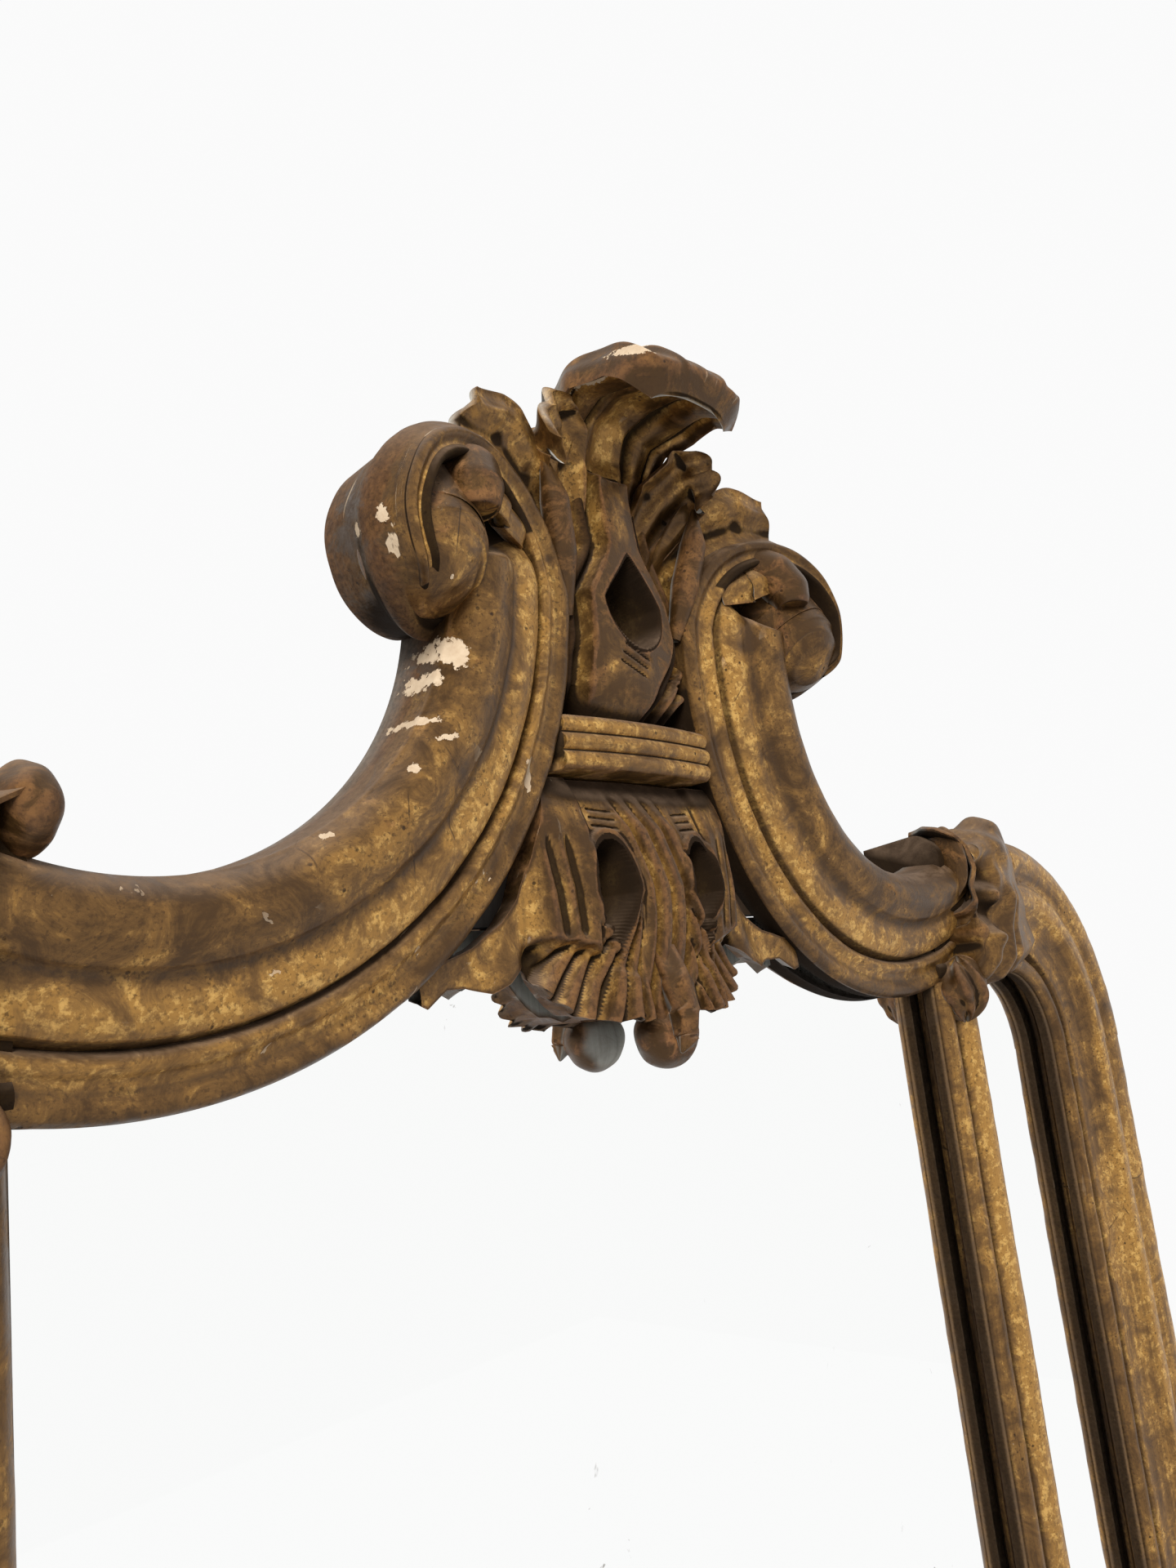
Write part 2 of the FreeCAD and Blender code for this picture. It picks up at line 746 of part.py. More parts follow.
def lower_leaf(bead):
    """Fluted leaf that falls between the scrolls and ends on the bead."""
    sections = []
    for up, wide, rise in eased(LOWER_SPINE_SHARES, LEAF_STEPS):
        level = band_level * up
        reach = (gap_at(level) - size["carving_play"]) * wide
        half = [
            (reach * across, sight_front - size["crest_projection"] * (rise * ahead), 0.0)
            for across, ahead in LOWER_FLUTE_SHARES
        ]
        half.append((reach, glass_front, 0.0))
        sections.append((both_sides(half), ZERO, ZERO, corner_line + level, Rotation()))
    tip = corner_line + band_level * LOWER_EYE_SHARE
    cutters = [bead]
    for side, x in (("right", size["leaf_eye_gap"]), ("left", -size["leaf_eye_gap"])):
        cutters.append(leaf_eye(f"{side}_leaf_eye", x, tip, size["leaf_eye_width"], size["leaf_eye_height"]))
    return cut("lower_leaf", loft("lower_leaf_form", sections), cutters)


REED_COUNT = 3
REED_BOW_SHARE = 0.32


def ribbon_band():
    """Three reeds across the crest, from scroll to scroll."""
    body, sketch = new_body("ribbon_band", "YZ_Plane")
    foot = corner_line + band_level
    reed = size["band_height"] / REED_COUNT
    front = sight_front - size["band_rise"]
    points = [(glass_front, foot, 0.0)]
    for step in range(REED_COUNT):
        points.append((front, foot + reed * step, -REED_BOW_SHARE))
    points.append((front, foot + size["band_height"], 0.0))
    points.append((glass_front, foot + size["band_height"], 0.0))
    draw(sketch, points)
    reach = gap_at(band_level + size["band_height"]) - size["carving_play"]
    pad(body, sketch, reach + reach)
    place(body, -reach, ZERO, ZERO)
    return body


def pendant_bead():
    thing = doc.addObject("Part::Sphere", "pendant_bead")
    bind(thing, "Radius", size["bead_radius"])
    place(thing, ZERO, sight_front - size["bead_rise"], corner_line - size["bead_level"])
    return thing


# Corner clasp, section by section along the rail: place along its length, lower and upper edge
# as shares of the rail's width, and how far it stands forward.
CLASP_STATION_SHARES = (
    (0.0, 0.42, 1.02, 0.95),
    (0.11, 0.32, 0.94, 0.8),
    (0.25, -0.02, 0.95, 0.84),
    (0.44, -0.05, 1.05, 1.0),
    (0.62, 0.0, 1.06, 0.9),
    (0.8, 0.05, 0.97, 0.68),
    (1.0, 0.14, 0.84, 0.52),
)
# Its edge in each section, from the lower back corner: height and depth.
CLASP_EDGE_SHARES = (
    (0.0, 0.0),
    (0.02, 0.6),
    (0.15, 0.93),
    (0.34, 0.84),
    (0.52, 1.0),
    (0.7, 0.86),
    (0.86, 0.94),
    (1.0, 0.5),
    (0.97, 0.0),
)
CLASP_MOUTH_SHARE = 0.18
# Knot: level and half-width of its sections, and the sides of its fluted outline.
KNOT_SHARES = ((0.7, 0.85), (0.2, 1.0), (-0.35, 0.98), (-0.85, 0.72), (-1.15, 0.3))
KNOT_SIDES = 12
KNOT_FLUTE_SHARE = 0.9
KNOT_SINK_SHARE = 0.4


def clasp_section(foot_share, head_share, rise_share, wall):
    """Lobed section of the clasp, or of the hollow inside its wall."""
    low = size["outer_width"] * foot_share + wall
    high = size["outer_width"] * head_share - wall
    depth = (size["clasp_rise"] + size["lip_thickness"]) * rise_share - wall
    return [(low + (high - low) * up, -depth * ahead, 0.0) for up, ahead in CLASP_EDGE_SHARES]


def clasp_knot():
    """Fluted bulb that covers the head of the inner upright."""
    radius = size["knot_radius"]
    x = opening_side + size["inner_width"] * HALF_SHARE
    y = sight_front - radius * KNOT_SINK_SHARE
    sections = []
    for up, wide in KNOT_SHARES:
        points = []
        for side in range(KNOT_SIDES):
            angle = math.tau * side / KNOT_SIDES
            out = wide if side % 2 else wide * KNOT_FLUTE_SHARE
            points.append((radius * (out * math.cos(angle)), radius * (out * math.sin(angle)), 0.0))
        sections.append((points, x, y, corner_line + radius * up, Rotation()))
    return loft("clasp_knot", sections)


def corner_clasp():
    """Folded leaf cuff over the joint of scroll, top rail and inner upright."""
    upwards = Rotation(DEPTH_AXIS, -QUARTER_DEGREES)
    left = opening_side - size["clasp_reach"]
    long = size["clasp_length"]
    cuff = []
    for along, foot, head, rise in eased(CLASP_STATION_SHARES, LEAF_STEPS):
        points = clasp_section(foot, head, rise, ZERO)
        cuff.append((points, left + long * along, glass_front, rail_line, upwards))
    mouth = []
    rim = size["clasp_rim"]
    for along, wall in ((-CLASP_MOUTH_SHARE, ZERO), (0.0, rim), (CLASP_MOUTH_SHARE, rim + rim + rim + rim)):
        points = clasp_section(*CLASP_STATION_SHARES[0][1:], wall)
        mouth.append((points, left + long * along, glass_front, rail_line, upwards))
    form = fuse("clasp_form", [loft("clasp_cuff", cuff), clasp_knot()])
    hollow = loft("clasp_mouth", mouth)
    return cut("clasp", form, [hollow, right_scroll, top_rail, shoulder, inner_upright, behind])


# Leaf across a lower corner: its lobed edge from tip to tail, and its section.
FOOT_EDGE_SHARES = (
    (0.0, 0.0, 0.14),
    (0.24, 0.6, 0.22),
    (0.48, 1.0, 0.24),
    (0.7, 0.84, 0.24),
    (0.88, 0.4, 0.16),
)
FOOT_RIDGE_SHARES = ((1.0, 0.25, 0.2), (0.5, 0.5, 0.16), (0.16, 0.8, 0.2))
DIAGONAL_DEGREES = 45
diagonal = Dim(math.sqrt(2), "sqrt(2)")


def foot_clasp():
    """Leaf that covers the mitre of two margin plates, from the inner to the outer corner."""
    half = size["foot_leaf_width"] * HALF_SHARE
    start = size["inner_radius"] + size["inner_width"] * HALF_SHARE
    end = (corner_x - inner_corner_x) * diagonal + size["corner_radius"]
    length = end + size["outer_width"] * HALF_SHARE - start
    edge = [(start + length * along, half * out, bow) for along, out, bow in FOOT_EDGE_SHARES]
    near = [(along, ZERO if out.value == 0 else -out, bow) for along, out, bow in edge]
    far = []
    for step in range(len(edge) - 1, 0, -1):
        far.append((edge[step][0], edge[step][1], edge[step - 1][2]))
    body, sketch = new_body("foot_clasp_form", "XZ_Plane")
    draw(sketch, near + [(start + length, ZERO, FOOT_EDGE_SHARES[-1][2])] + far)
    depth = size["foot_leaf_rise"] + size["lip_thickness"]
    pad(body, sketch, depth)
    ridge, section = new_body("foot_clasp_ridge", "YZ_Plane")
    rising = [(-depth * up, -half * out, bow) for out, up, bow in FOOT_RIDGE_SHARES]
    falling = []
    for step in range(len(FOOT_RIDGE_SHARES) - 1, -1, -1):
        out, up, _ = FOOT_RIDGE_SHARES[step]
        falling.append((-depth * up, half * out, FOOT_RIDGE_SHARES[step - 1][2] if step else 0.0))
    top = [(-depth, ZERO, FOOT_RIDGE_SHARES[-1][2])]
    draw(section, [(ZERO, half, 0.0), (ZERO, -half, 0.0)] + rising + top + falling)
    pad(ridge, section, start + length)
    for thing in (body, ridge):
        turned = Rotation(DEPTH_AXIS, DIAGONAL_DEGREES)
        place(thing, inner_corner_x, glass_front, inner_corner_z, turned)
    leaf = common("foot_clasp_leaf", body, ridge)
    return cut("foot_clasp", leaf, [inner_corner, foot_corner])


BOARD_SCROLL_BOW_SHARE = -0.14
CREST_HEAD_SHARES = ((2.36, 0.21), (1.52, 0.42), (0.76, 0.63))


def crest_board():
    """Flat ground behind the scrolls, whose edge runs along the middle of their mouldings."""
    foot = plate_top + play
    middle = scroll_radius - size["scroll_width"] * HALF_SHARE
    below = scroll_z - foot
    foot_x = scroll_x - (middle * middle - below * below).root()
    half = [(foot_x, foot, BOARD_SCROLL_BOW_SHARE), (scroll_x - middle, scroll_z, 0.0)]
    for across, up in CREST_HEAD_SHARES:
        half.append((crest_gap * across, scroll_z + size["leaf_stand"] * up, 0.0))
    return front_form("crest_board", both_sides(half), board_back - glass_front, board_back)


bead = pendant_bead()
upper = upper_leaf()
right_side_leaf = side_leaf(upper)
right_clasp = corner_clasp()
right_foot_clasp = foot_clasp()
board = crest_board()


# Plates and boards

EIGHTH_BOW_SHARE = math.tan(math.radians(DIAGONAL_DEGREES) / 4) / 2
QUARTER_BOW_SHARE = math.tan(math.radians(QUARTER_DEGREES) / 4) / 2


def sheet_form(label, points, front, thickness):
    """A flat sheet, from its back plane forward."""
    return front_form(label, points, thickness, front + thickness)


def main_plate():
    side = opening_side + plate_reach
    foot = opening_foot - plate_reach
    neck = opening_side - play
    half = [
        (inner_corner_x, foot, QUARTER_BOW_SHARE),
        (side, inner_corner_z, 0.0),
        (side, rail_line + plate_reach, 0.0),
        (neck, rail_line + plate_reach, 0.0),
        (neck, plate_top, 0.0),
    ]
    return sheet_form("main_plate", both_sides(half), glass_front, size["glass_thickness"])


def mitre_point(x, z, radius, shift):
    """Point of a corner's arc on the diagonal, moved sideways by half of the seam."""
    slope = radius / diagonal
    return x + slope + shift, z - slope


def margin_plate():
    near = inner_side - plate_reach
    far = outer_side + plate_reach
    seam = size["mitre_seam"] * HALF_SHARE
    out_x, out_z = mitre_point(corner_x, foot_corner_z, size["corner_radius"] + plate_reach, seam)
    in_radius = size["inner_radius"] + size["inner_width"] - plate_reach
    in_x, in_z = mitre_point(inner_corner_x, inner_corner_z, in_radius, seam)
    points = [
        (near, rail_line + plate_reach, 0.0),
        (near, inner_corner_z, -EIGHTH_BOW_SHARE),
        (in_x, in_z, 0.0),
        (out_x, out_z, EIGHTH_BOW_SHARE),
        (far, foot_corner_z, 0.0),
        (far, shoulder_z, QUARTER_BOW_SHARE),
        (corner_x, rail_line + plate_reach, 0.0),
    ]
    return sheet_form("margin_plate", points, glass_front, size["glass_thickness"])


def foot_plate():
    seam = -size["mitre_seam"] * HALF_SHARE
    out_x, out_z = mitre_point(corner_x, foot_corner_z, size["corner_radius"] + plate_reach, seam)
    in_radius = size["inner_radius"] + size["inner_width"] - plate_reach
    in_x, in_z = mitre_point(inner_corner_x, inner_corner_z, in_radius, seam)
    half = [
        (corner_x, outer_foot - plate_reach, EIGHTH_BOW_SHARE),
        (out_x, out_z, 0.0),
        (in_x, in_z, -EIGHTH_BOW_SHARE),
        (inner_corner_x, inner_foot + plate_reach, 0.0),
    ]
    return sheet_form("foot_plate", both_sides(half), glass_front, size["glass_thickness"])


seam_x = opening_side + play
board_foot = outer_foot - plate_reach


def outer_board():
    far = outer_side + plate_reach
    points = [
        (seam_x + size["board_seam"], board_foot, 0.0),
        (corner_x, board_foot, QUARTER_BOW_SHARE),
        (far, foot_corner_z, 0.0),
        (far, shoulder_z, QUARTER_BOW_SHARE),
        (corner_x, rail_line + plate_reach, 0.0),
        (seam_x + size["board_seam"], rail_line + plate_reach, 0.0),
    ]
    return sheet_form("outer_board", points, board_front, size["board_thickness"])


def middle_board():
    seam = size["board_seam"] * HALF_SHARE
    length = seam_x - play - play - seam
    height = plate_top - board_foot
    thickness = size["board_thickness"]
    return box("middle_board", seam, board_front, board_foot, length, thickness, height)


# Fasteners

def screw(label, x, back, z, length):
    """Round-headed wood screw driven forward from a back face."""
    rise = size["screw_head_height"]
    head = cylinder(f"{label}_head", size["screw_head"], rise, x, back + rise, z, TOWARD_FRONT)
    shank = cylinder(f"{label}_shank", size["screw_radius"], length, x, back, z, TOWARD_FRONT)
    return fuse(label, [head, shank])


web_x = opening_side + size["inner_width"] * HALF_SHARE
board_bite = size["board_thickness"] + size["screw_bite"]
board_screws = []
for row, up_share in enumerate(BACK_SCREW_ROWS_SHARES):
    height = inner_corner_z + inner_length * up_share
    board_screws.append(screw(f"board_screw_{row}", web_x, board_back, height, board_bite))

batten_foot = corner_line - size["batten_drop"]
batten_length = scroll_z + size["batten_reach"] - batten_foot
batten_x = size["batten_offset"]
batten_screws = []
BATTEN_BITE_SHARE = 0.6
recess = -size["screw_head_height"]
batten_bite = size["board_recess"] + size["board_thickness"] * BATTEN_BITE_SHARE + recess
for row, up_share in enumerate(BATTEN_SCREW_ROWS_SHARES):
    height = batten_foot + batten_length * up_share
    batten_screws.append(screw(f"batten_screw_{row}", batten_x, recess, height, batten_bite))


DOWEL_DEPTH_SHARE = 0.72


def dowel(label, x, z, level):
    """Dowel across a joint of the outer frame, level or upright."""
    depth = sight_front * DOWEL_DEPTH_SHARE
    length = size["dowel_length"]
    half = length * HALF_SHARE
    if level:
        return cylinder(label, size["dowel_radius"], length, x - half, depth, z, ALONG_WIDTH)
    return cylinder(label, size["dowel_radius"], length, x, depth, z - half)


dowel_across = size["outer_width"] * HALF_SHARE
head_dowel = dowel("head_dowel", outer_side + dowel_across, shoulder_z, False)
foot_dowel = dowel("foot_dowel", outer_side + dowel_across, foot_corner_z, False)
rail_dowel = dowel("rail_dowel", corner_x, rail_line + dowel_across, True)
sill_dowel = dowel("sill_dowel", corner_x, outer_foot - dowel_across, True)

blocks = []
block_width = size["block_width"]
block_length = size["block_length"]
for row, up_share in enumerate(BLOCK_ROWS_SHARES):
    level = foot_corner_z + (outer_length - block_length) * up_share
    near = outer_side + size["rabbet_width"] - block_width
    depth = size["board_recess"]
    blocks.append(box(f"block_{row}", near, board_back, level, block_width, depth, block_length))


# Hanging plate and ring, let into the back of an upright

hanger_x = outer_side + size["outer_width"] * HALF_SHARE + size["rabbet_width"] * HALF_SHARE
pocket_floor = -size["pocket_depth"]
bore_radius = size["ring_wire"] + size["ring_play"]
barrel_radius = bore_radius + size["barrel_wall"]
BARREL_SINK_SHARE = 0.1
barrel_y = pocket_floor + barrel_radius + size["plate_metal"] * BARREL_SINK_SHARE


def pocket():
    return box(
        "hanger_pocket",
        hanger_x - size["pocket_width"] * HALF_SHARE,
        pocket_floor,
        -size["pocket_foot"],
        size["pocket_width"],
        size["pocket_depth"] + size["overrun"],
        size["pocket_head"] + size["pocket_foot"],
    )


def hanger_screws():
    screws = []
    for row, up_share in enumerate(PLATE_SCREW_ROWS_SHARES):
        height = size["plate_length"] * up_share
        back = pocket_floor + size["plate_metal"]
        length = size["plate_metal"] + size["screw_bite"]
        screws.append(screw(f"hanger_screw_{row}", hanger_x, back, height, length))
    return screws


def hanger_plate(screws):
    """Iron strap with a barrel rolled at its foot for the ring's bar."""
    wide = size["plate_width"]
    metal = size["plate_metal"]
    left = hanger_x - wide * HALF_SHARE
    strap = box("hanger_strap", left, pocket_floor, ZERO, wide, metal, size["plate_length"])
    length = size["barrel_length"]
    start = hanger_x - length * HALF_SHARE
    barrel = cylinder("hanger_barrel", barrel_radius, length, start, barrel_y, ZERO, ALONG_WIDTH)
    past = size["overrun"]
    through = length + past + past
    bore = cylinder("hanger_bore", bore_radius, through, start - past, barrel_y, ZERO, ALONG_WIDTH)
    return cut("hanger_plate", fuse("hanger_metal", [strap, barrel]), [bore] + screws)


def ring_bend(label, x, radius, start, turn):
    """Part of the ring's wire, bent round an axis that points at the wall."""
    thing = doc.addObject("Part::Torus", label)
    bind(thing, "Radius1", radius)
    bind(thing, "Radius2", size["ring_wire"])
    thing.Angle3 = turn
    standing = TOWARD_FRONT * Rotation(UP_AXIS, start)
    place(thing, x, barrel_y, -size["ring_bend"], standing)
    return thing


def hanging_ring():
    """Round wire bent to a D: a straight bar, two bends and a half circle."""
    bar = size["ring_bar"]
    bend = size["ring_bend"]
    wire = size["ring_wire"]
    half_turn = QUARTER_DEGREES + QUARTER_DEGREES
    parts = [
        cylinder("ring_bar_wire", wire, bar + bar, hanger_x - bar, barrel_y, ZERO, ALONG_WIDTH),
        ring_bend("ring_right_bend", hanger_x + bar, bend, 0, QUARTER_DEGREES),
        ring_bend("ring_left_bend", hanger_x - bar, bend, QUARTER_DEGREES, QUARTER_DEGREES),
        ring_bend("ring_bow", hanger_x, bar + bend, half_turn, half_turn),
    ]
    return fuse("hanging_ring", parts)


right_hanger_screws = hanger_screws()
right_hanger_plate = hanger_plate(right_hanger_screws)
right_ring = hanging_ring()


# Finished pieces

keep_pair("scroll", right_scroll)
keep("upper_leaf", upper)
keep_pair("side_leaf", right_side_leaf)
keep("ribbon_band", ribbon_band())
keep("lower_leaf", lower_leaf(bead))
keep("pendant_bead", bead)
left_screws = mirror("crest_left_screws", group("crest_right_screws", batten_screws))
keep("crest_board", cut("crest_ground", board, batten_screws + [left_screws]))
keep_pair("corner_clasp", right_clasp)
keep_pair("top_rail", cut("top_rail_piece", top_rail, [rail_dowel, right_scroll]))
keep_pair("shoulder", cut("shoulder_piece", shoulder, [rail_dowel, head_dowel]))
upright_cutters = [pocket(), head_dowel, foot_dowel] + right_hanger_screws
keep_pair("outer_upright", cut("outer_upright_piece", outer_upright, upright_cutters))
keep_pair("foot_corner", cut("foot_corner_piece", foot_corner, [foot_dowel, sill_dowel]))
sill_dowels = [sill_dowel, mirror("left_sill_dowel", sill_dowel)]
keep("foot_rail", cut("foot_rail_piece", foot_rail, sill_dowels))
keep_pair("inner_upright", cut("inner_upright_piece", inner_upright, board_screws + [right_scroll]))
keep_pair("inner_corner", inner_corner)
keep("inner_foot_rail", inner_rail)
keep_pair("foot_clasp", right_foot_clasp)
keep("main_plate", main_plate())
keep_pair("margin_plate", margin_plate())
keep("foot_margin_plate", foot_plate())
keep_pair("outer_board", cut("outer_board_piece", outer_board(), board_screws))
keep_pair("middle_board", cut("middle_board_piece", middle_board(), batten_screws))
batten_width = size["batten_width"]
batten_left = batten_x - batten_width * HALF_SHARE
batten_depth = size["board_recess"]
batten = box(
    "batten", batten_left, board_back, batten_foot, batten_width, batten_depth, batten_length
)
keep_pair("crest_batten", cut("batten_piece", batten, batten_screws))


def keep_both(node, things):
    """Name a set of right-hand fasteners and their left-hand twins as one group."""
    right = group(f"right_{node}", things)
    keep(node, group(f"all_{node}", [right, mirror(f"left_{node}", right)]))


keep_both("glue_blocks", blocks)
keep_both("board_screws", board_screws)
keep_both("batten_screws", batten_screws)
keep_both("frame_dowels", [head_dowel, foot_dowel, rail_dowel, sill_dowel])
keep_both("hanger_screws", right_hanger_screws)
keep_pair("hanger_plate", right_hanger_plate)
keep_pair("hanging_ring", right_ring)

doc.recompute()

for thing in doc.Objects:
    if "Invalid" in thing.State or "Error" in thing.State:
        raise RuntimeError(f"{thing.Name} failed: {thing.State}")

GROUPS = ("glue_blocks", "board_screws", "batten_screws", "frame_dowels", "hanger_screws")
for node, thing in nodes.items():
    shape = thing.Shape
    if shape.isNull() or not shape.isValid():
        raise RuntimeError(f"{node} has no valid shape")
    if node not in GROUPS and len(shape.Solids) != 1:
        raise RuntimeError(f"{node} has {len(shape.Solids)} solids")

os.makedirs("parts", exist_ok=True)
for node, thing in nodes.items():
    thing.Shape.exportStep(f"parts/{node}.step")
    print(node, len(thing.Shape.Solids), round(thing.Shape.Volume))
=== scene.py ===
# %% [markdown]
# A carved and gilded wall mirror. The CAD frame is loaded first: it says where every piece
# sits. The carved and gilded pieces are then worked out again as fine surfaces with numpy,
# because a carver's cuts, the worn gold and the dust need far more points than CAD solids have.

# %% Load the frame
import math

import bmesh
import bpy
import numpy as np
from mathutils import Matrix, Vector


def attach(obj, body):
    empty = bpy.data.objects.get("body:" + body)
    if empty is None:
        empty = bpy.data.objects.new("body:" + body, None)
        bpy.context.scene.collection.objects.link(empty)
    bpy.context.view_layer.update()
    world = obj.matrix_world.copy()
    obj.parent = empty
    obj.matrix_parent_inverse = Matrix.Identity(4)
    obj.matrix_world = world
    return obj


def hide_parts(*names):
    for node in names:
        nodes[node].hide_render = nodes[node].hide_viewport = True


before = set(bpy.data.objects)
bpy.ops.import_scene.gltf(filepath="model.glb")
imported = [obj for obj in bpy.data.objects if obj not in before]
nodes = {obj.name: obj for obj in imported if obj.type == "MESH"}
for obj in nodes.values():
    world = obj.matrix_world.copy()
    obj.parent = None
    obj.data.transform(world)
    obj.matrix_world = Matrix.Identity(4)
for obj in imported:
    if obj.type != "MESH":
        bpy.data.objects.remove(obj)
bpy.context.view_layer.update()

# %% [markdown]
# All carving is measured in millimetres in the crest's own frame: x to the right of the middle,
# y from the sight edge towards the wall (so the front is negative) and z up from the top corners
# of the main opening. One function hangs such points in the frame that the CAD uses. The mirror
# has two like halves, so most pieces are made for the right side and turned over for the left.

# %% The crest's frame
MM = 0.001
SIGHT_FRONT = -30.5  # y of the sight edge, from the wall
CORNER_LINE = 120.0  # z of the main opening's top corners
LEAN = math.radians(5)  # how far the scrolls lean forward


def hung(points):
    """Crest millimetres to frame metres: shift by the sight edge and the corner line."""
    return (np.asarray(points, float) + (0, SIGHT_FRONT, CORNER_LINE)) * MM


def leaning(points):
    """Turn points about the line y = 0, z = 0 so that their tops come forward."""
    x, y, z = np.moveaxis(np.asarray(points, float), -1, 0)
    c, s = math.cos(LEAN), math.sin(LEAN)
    return np.stack([x, y * c - z * s, y * s + z * c], -1)


def mirrored(grid):
    """The left-hand twin of a right-hand grid: x changes its sign."""
    return grid * (-1, 1, 1)


def laid_on(grid, flat):
    """Press what would reach behind a flat y forward onto it."""
    return np.stack([grid[..., 0], np.minimum(grid[..., 1], flat), grid[..., 2]], -1)


SIDES = {"right": np.asarray, "left": mirrored}  # the right side stays as it was made
print("the crest's zero hangs at", hung((0, 0, 0)).round(4).tolist())

# %% Soft steps and hand work
WAVES = 12


def step(low, high, value):
    """0 below low, 1 above high, and a smooth S between them."""
    t = np.clip((value - low) / (high - low), 0, 1)
    return t * t * (3 - 2 * t)


def waver(points, size, seed):
    """Uneven hand work: a dozen sine waves in seeded directions, with lengths near size."""
    rng = np.random.default_rng(seed)
    way = rng.normal(size=(WAVES, 3))
    way /= np.linalg.norm(way, axis=1)[:, None]
    way *= 2 * math.pi / (size * rng.uniform(0.6, 1.7, WAVES))[:, None]
    return np.sin(points @ way.T + rng.uniform(0, 6.28, WAVES)).sum(-1) / 4


print("half way up a step:", step(0.0, 1.0, 0.5))

# %% [markdown]
# Every new piece is a grid of points. Six facts about a point drive the worn finish and its painted
# shade: how deep it lies in a cut or a broad hollow (dirt stays there, and shade is painted there),
# how far it stands out (gold rubs off), how sheltered it is in a broad hollow (gold stays bright),
# how much it faces up (dust falls there), whether its gold flaked off, and how much it faces the
# wall (it was never gilded). They could be painted by hand or baked; measuring them on the grid is
# quicker and follows every change of shape. They are kept as attributes of the mesh, with a UV map
# that counts metres along and across the piece, so that streaks can follow a moulding.

# %% Measures on a grid
def blurred(grid, reach, wrap):
    """Mean of each point's surroundings within a reach in mm: running sums, along both ways, twice."""
    for axis in (0, 1, 0, 1):
        count = grid.shape[axis]
        pace = np.linalg.norm(np.diff(grid, axis=axis), axis=-1).mean()
        half = int(np.clip(round(reach / max(pace, 0.01)), 1, count // 2 - 1))
        room = [(0, 0)] * 3
        room[axis] = (half + 1, half)
        padded = np.pad(grid, room, "wrap" if wrap[axis] else "reflect")
        total = np.cumsum(padded, axis)
        high = np.take(total, range(2 * half + 1, 2 * half + 1 + count), axis)
        grid = (high - np.take(total, range(count), axis)) / (2 * half + 1)
    return grid


def facing(grid, wrap):
    """Unit normals: the cross product of the two ways along the grid."""
    ways = []
    for axis in (0, 1):
        room = [(0, 0)] * 3
        room[axis] = (1, 1)
        wide = np.pad(grid, room, "wrap" if wrap[axis] else "edge")
        count = grid.shape[axis]
        ways.append(np.take(wide, range(2, count + 2), axis) - np.take(wide, range(count), axis))
    normal = np.cross(ways[0], ways[1])
    return normal / np.maximum(np.linalg.norm(normal, axis=-1, keepdims=True), 1e-9)


def travelled(grid, axis):
    """Metres along one way of the grid, measured on its middle line."""
    lengths = np.linalg.norm(np.diff(grid, axis=axis), axis=-1).mean(1 - axis)
    return np.concatenate([[0], np.cumsum(lengths)]) * MM


sheet = np.stack([*np.meshgrid(np.arange(9.0), np.arange(9.0), indexing="ij"), np.zeros((9, 9))], -1)
print("a level sheet faces", facing(sheet, (False, False))[4, 4].tolist())

# %% Facts that drive the wear
NARROW, BROAD = 1.6, 6.0  # mm round a point that tell a cut from a hollow


def worn_facts(grid, wrap, dark=None, gold=None, bare=None, rear=0.0):
    """Crevice, ridge and shelter say how far a point lies under the mean of its surroundings; crevice
    darkens cuts and broad hollows as dirt and painted shade. Dust and rear say how far its normal
    points up and to the wall. A piece may add dark (dirt and painted shade), gold, bare gesso and
    rear of its own."""
    everywhere = np.ones(grid.shape[:2])
    normal = facing(grid, wrap)
    middle = grid.reshape(-1, 3).mean(0)
    if ((grid - middle) * normal).sum() < 0:
        normal = -normal
    sunk = ((blurred(grid, NARROW, wrap) - grid) * normal).sum(-1)
    below = ((blurred(grid, BROAD, wrap) - grid) * normal).sum(-1)
    # Crevice: dirt in the fine cuts, and painted shade in the cuts and the broad hollows.
    crevice = np.maximum(step(0.06, 0.5, sunk), step(1.6, 4.5, below))
    return {
        "crevice": crevice if dark is None else np.maximum(crevice, dark * everywhere),
        "ridge": step(0.1, 0.9, -sunk),
        "shelter": step(-2.0, 2.0, below) if gold is None else gold * everywhere,
        "dust": step(0.25, 0.95, normal[..., 2]),
        "flaked": 0 * everywhere if bare is None else bare,
        "rear": np.maximum(step(0.2, 0.75, normal[..., 1]), rear),
    }


print("facts of each point:", list(worn_facts(sheet, (False, False))))

# %% From grid to mesh
SHARP = math.radians(55)  # edges that bend more than this stay crisp


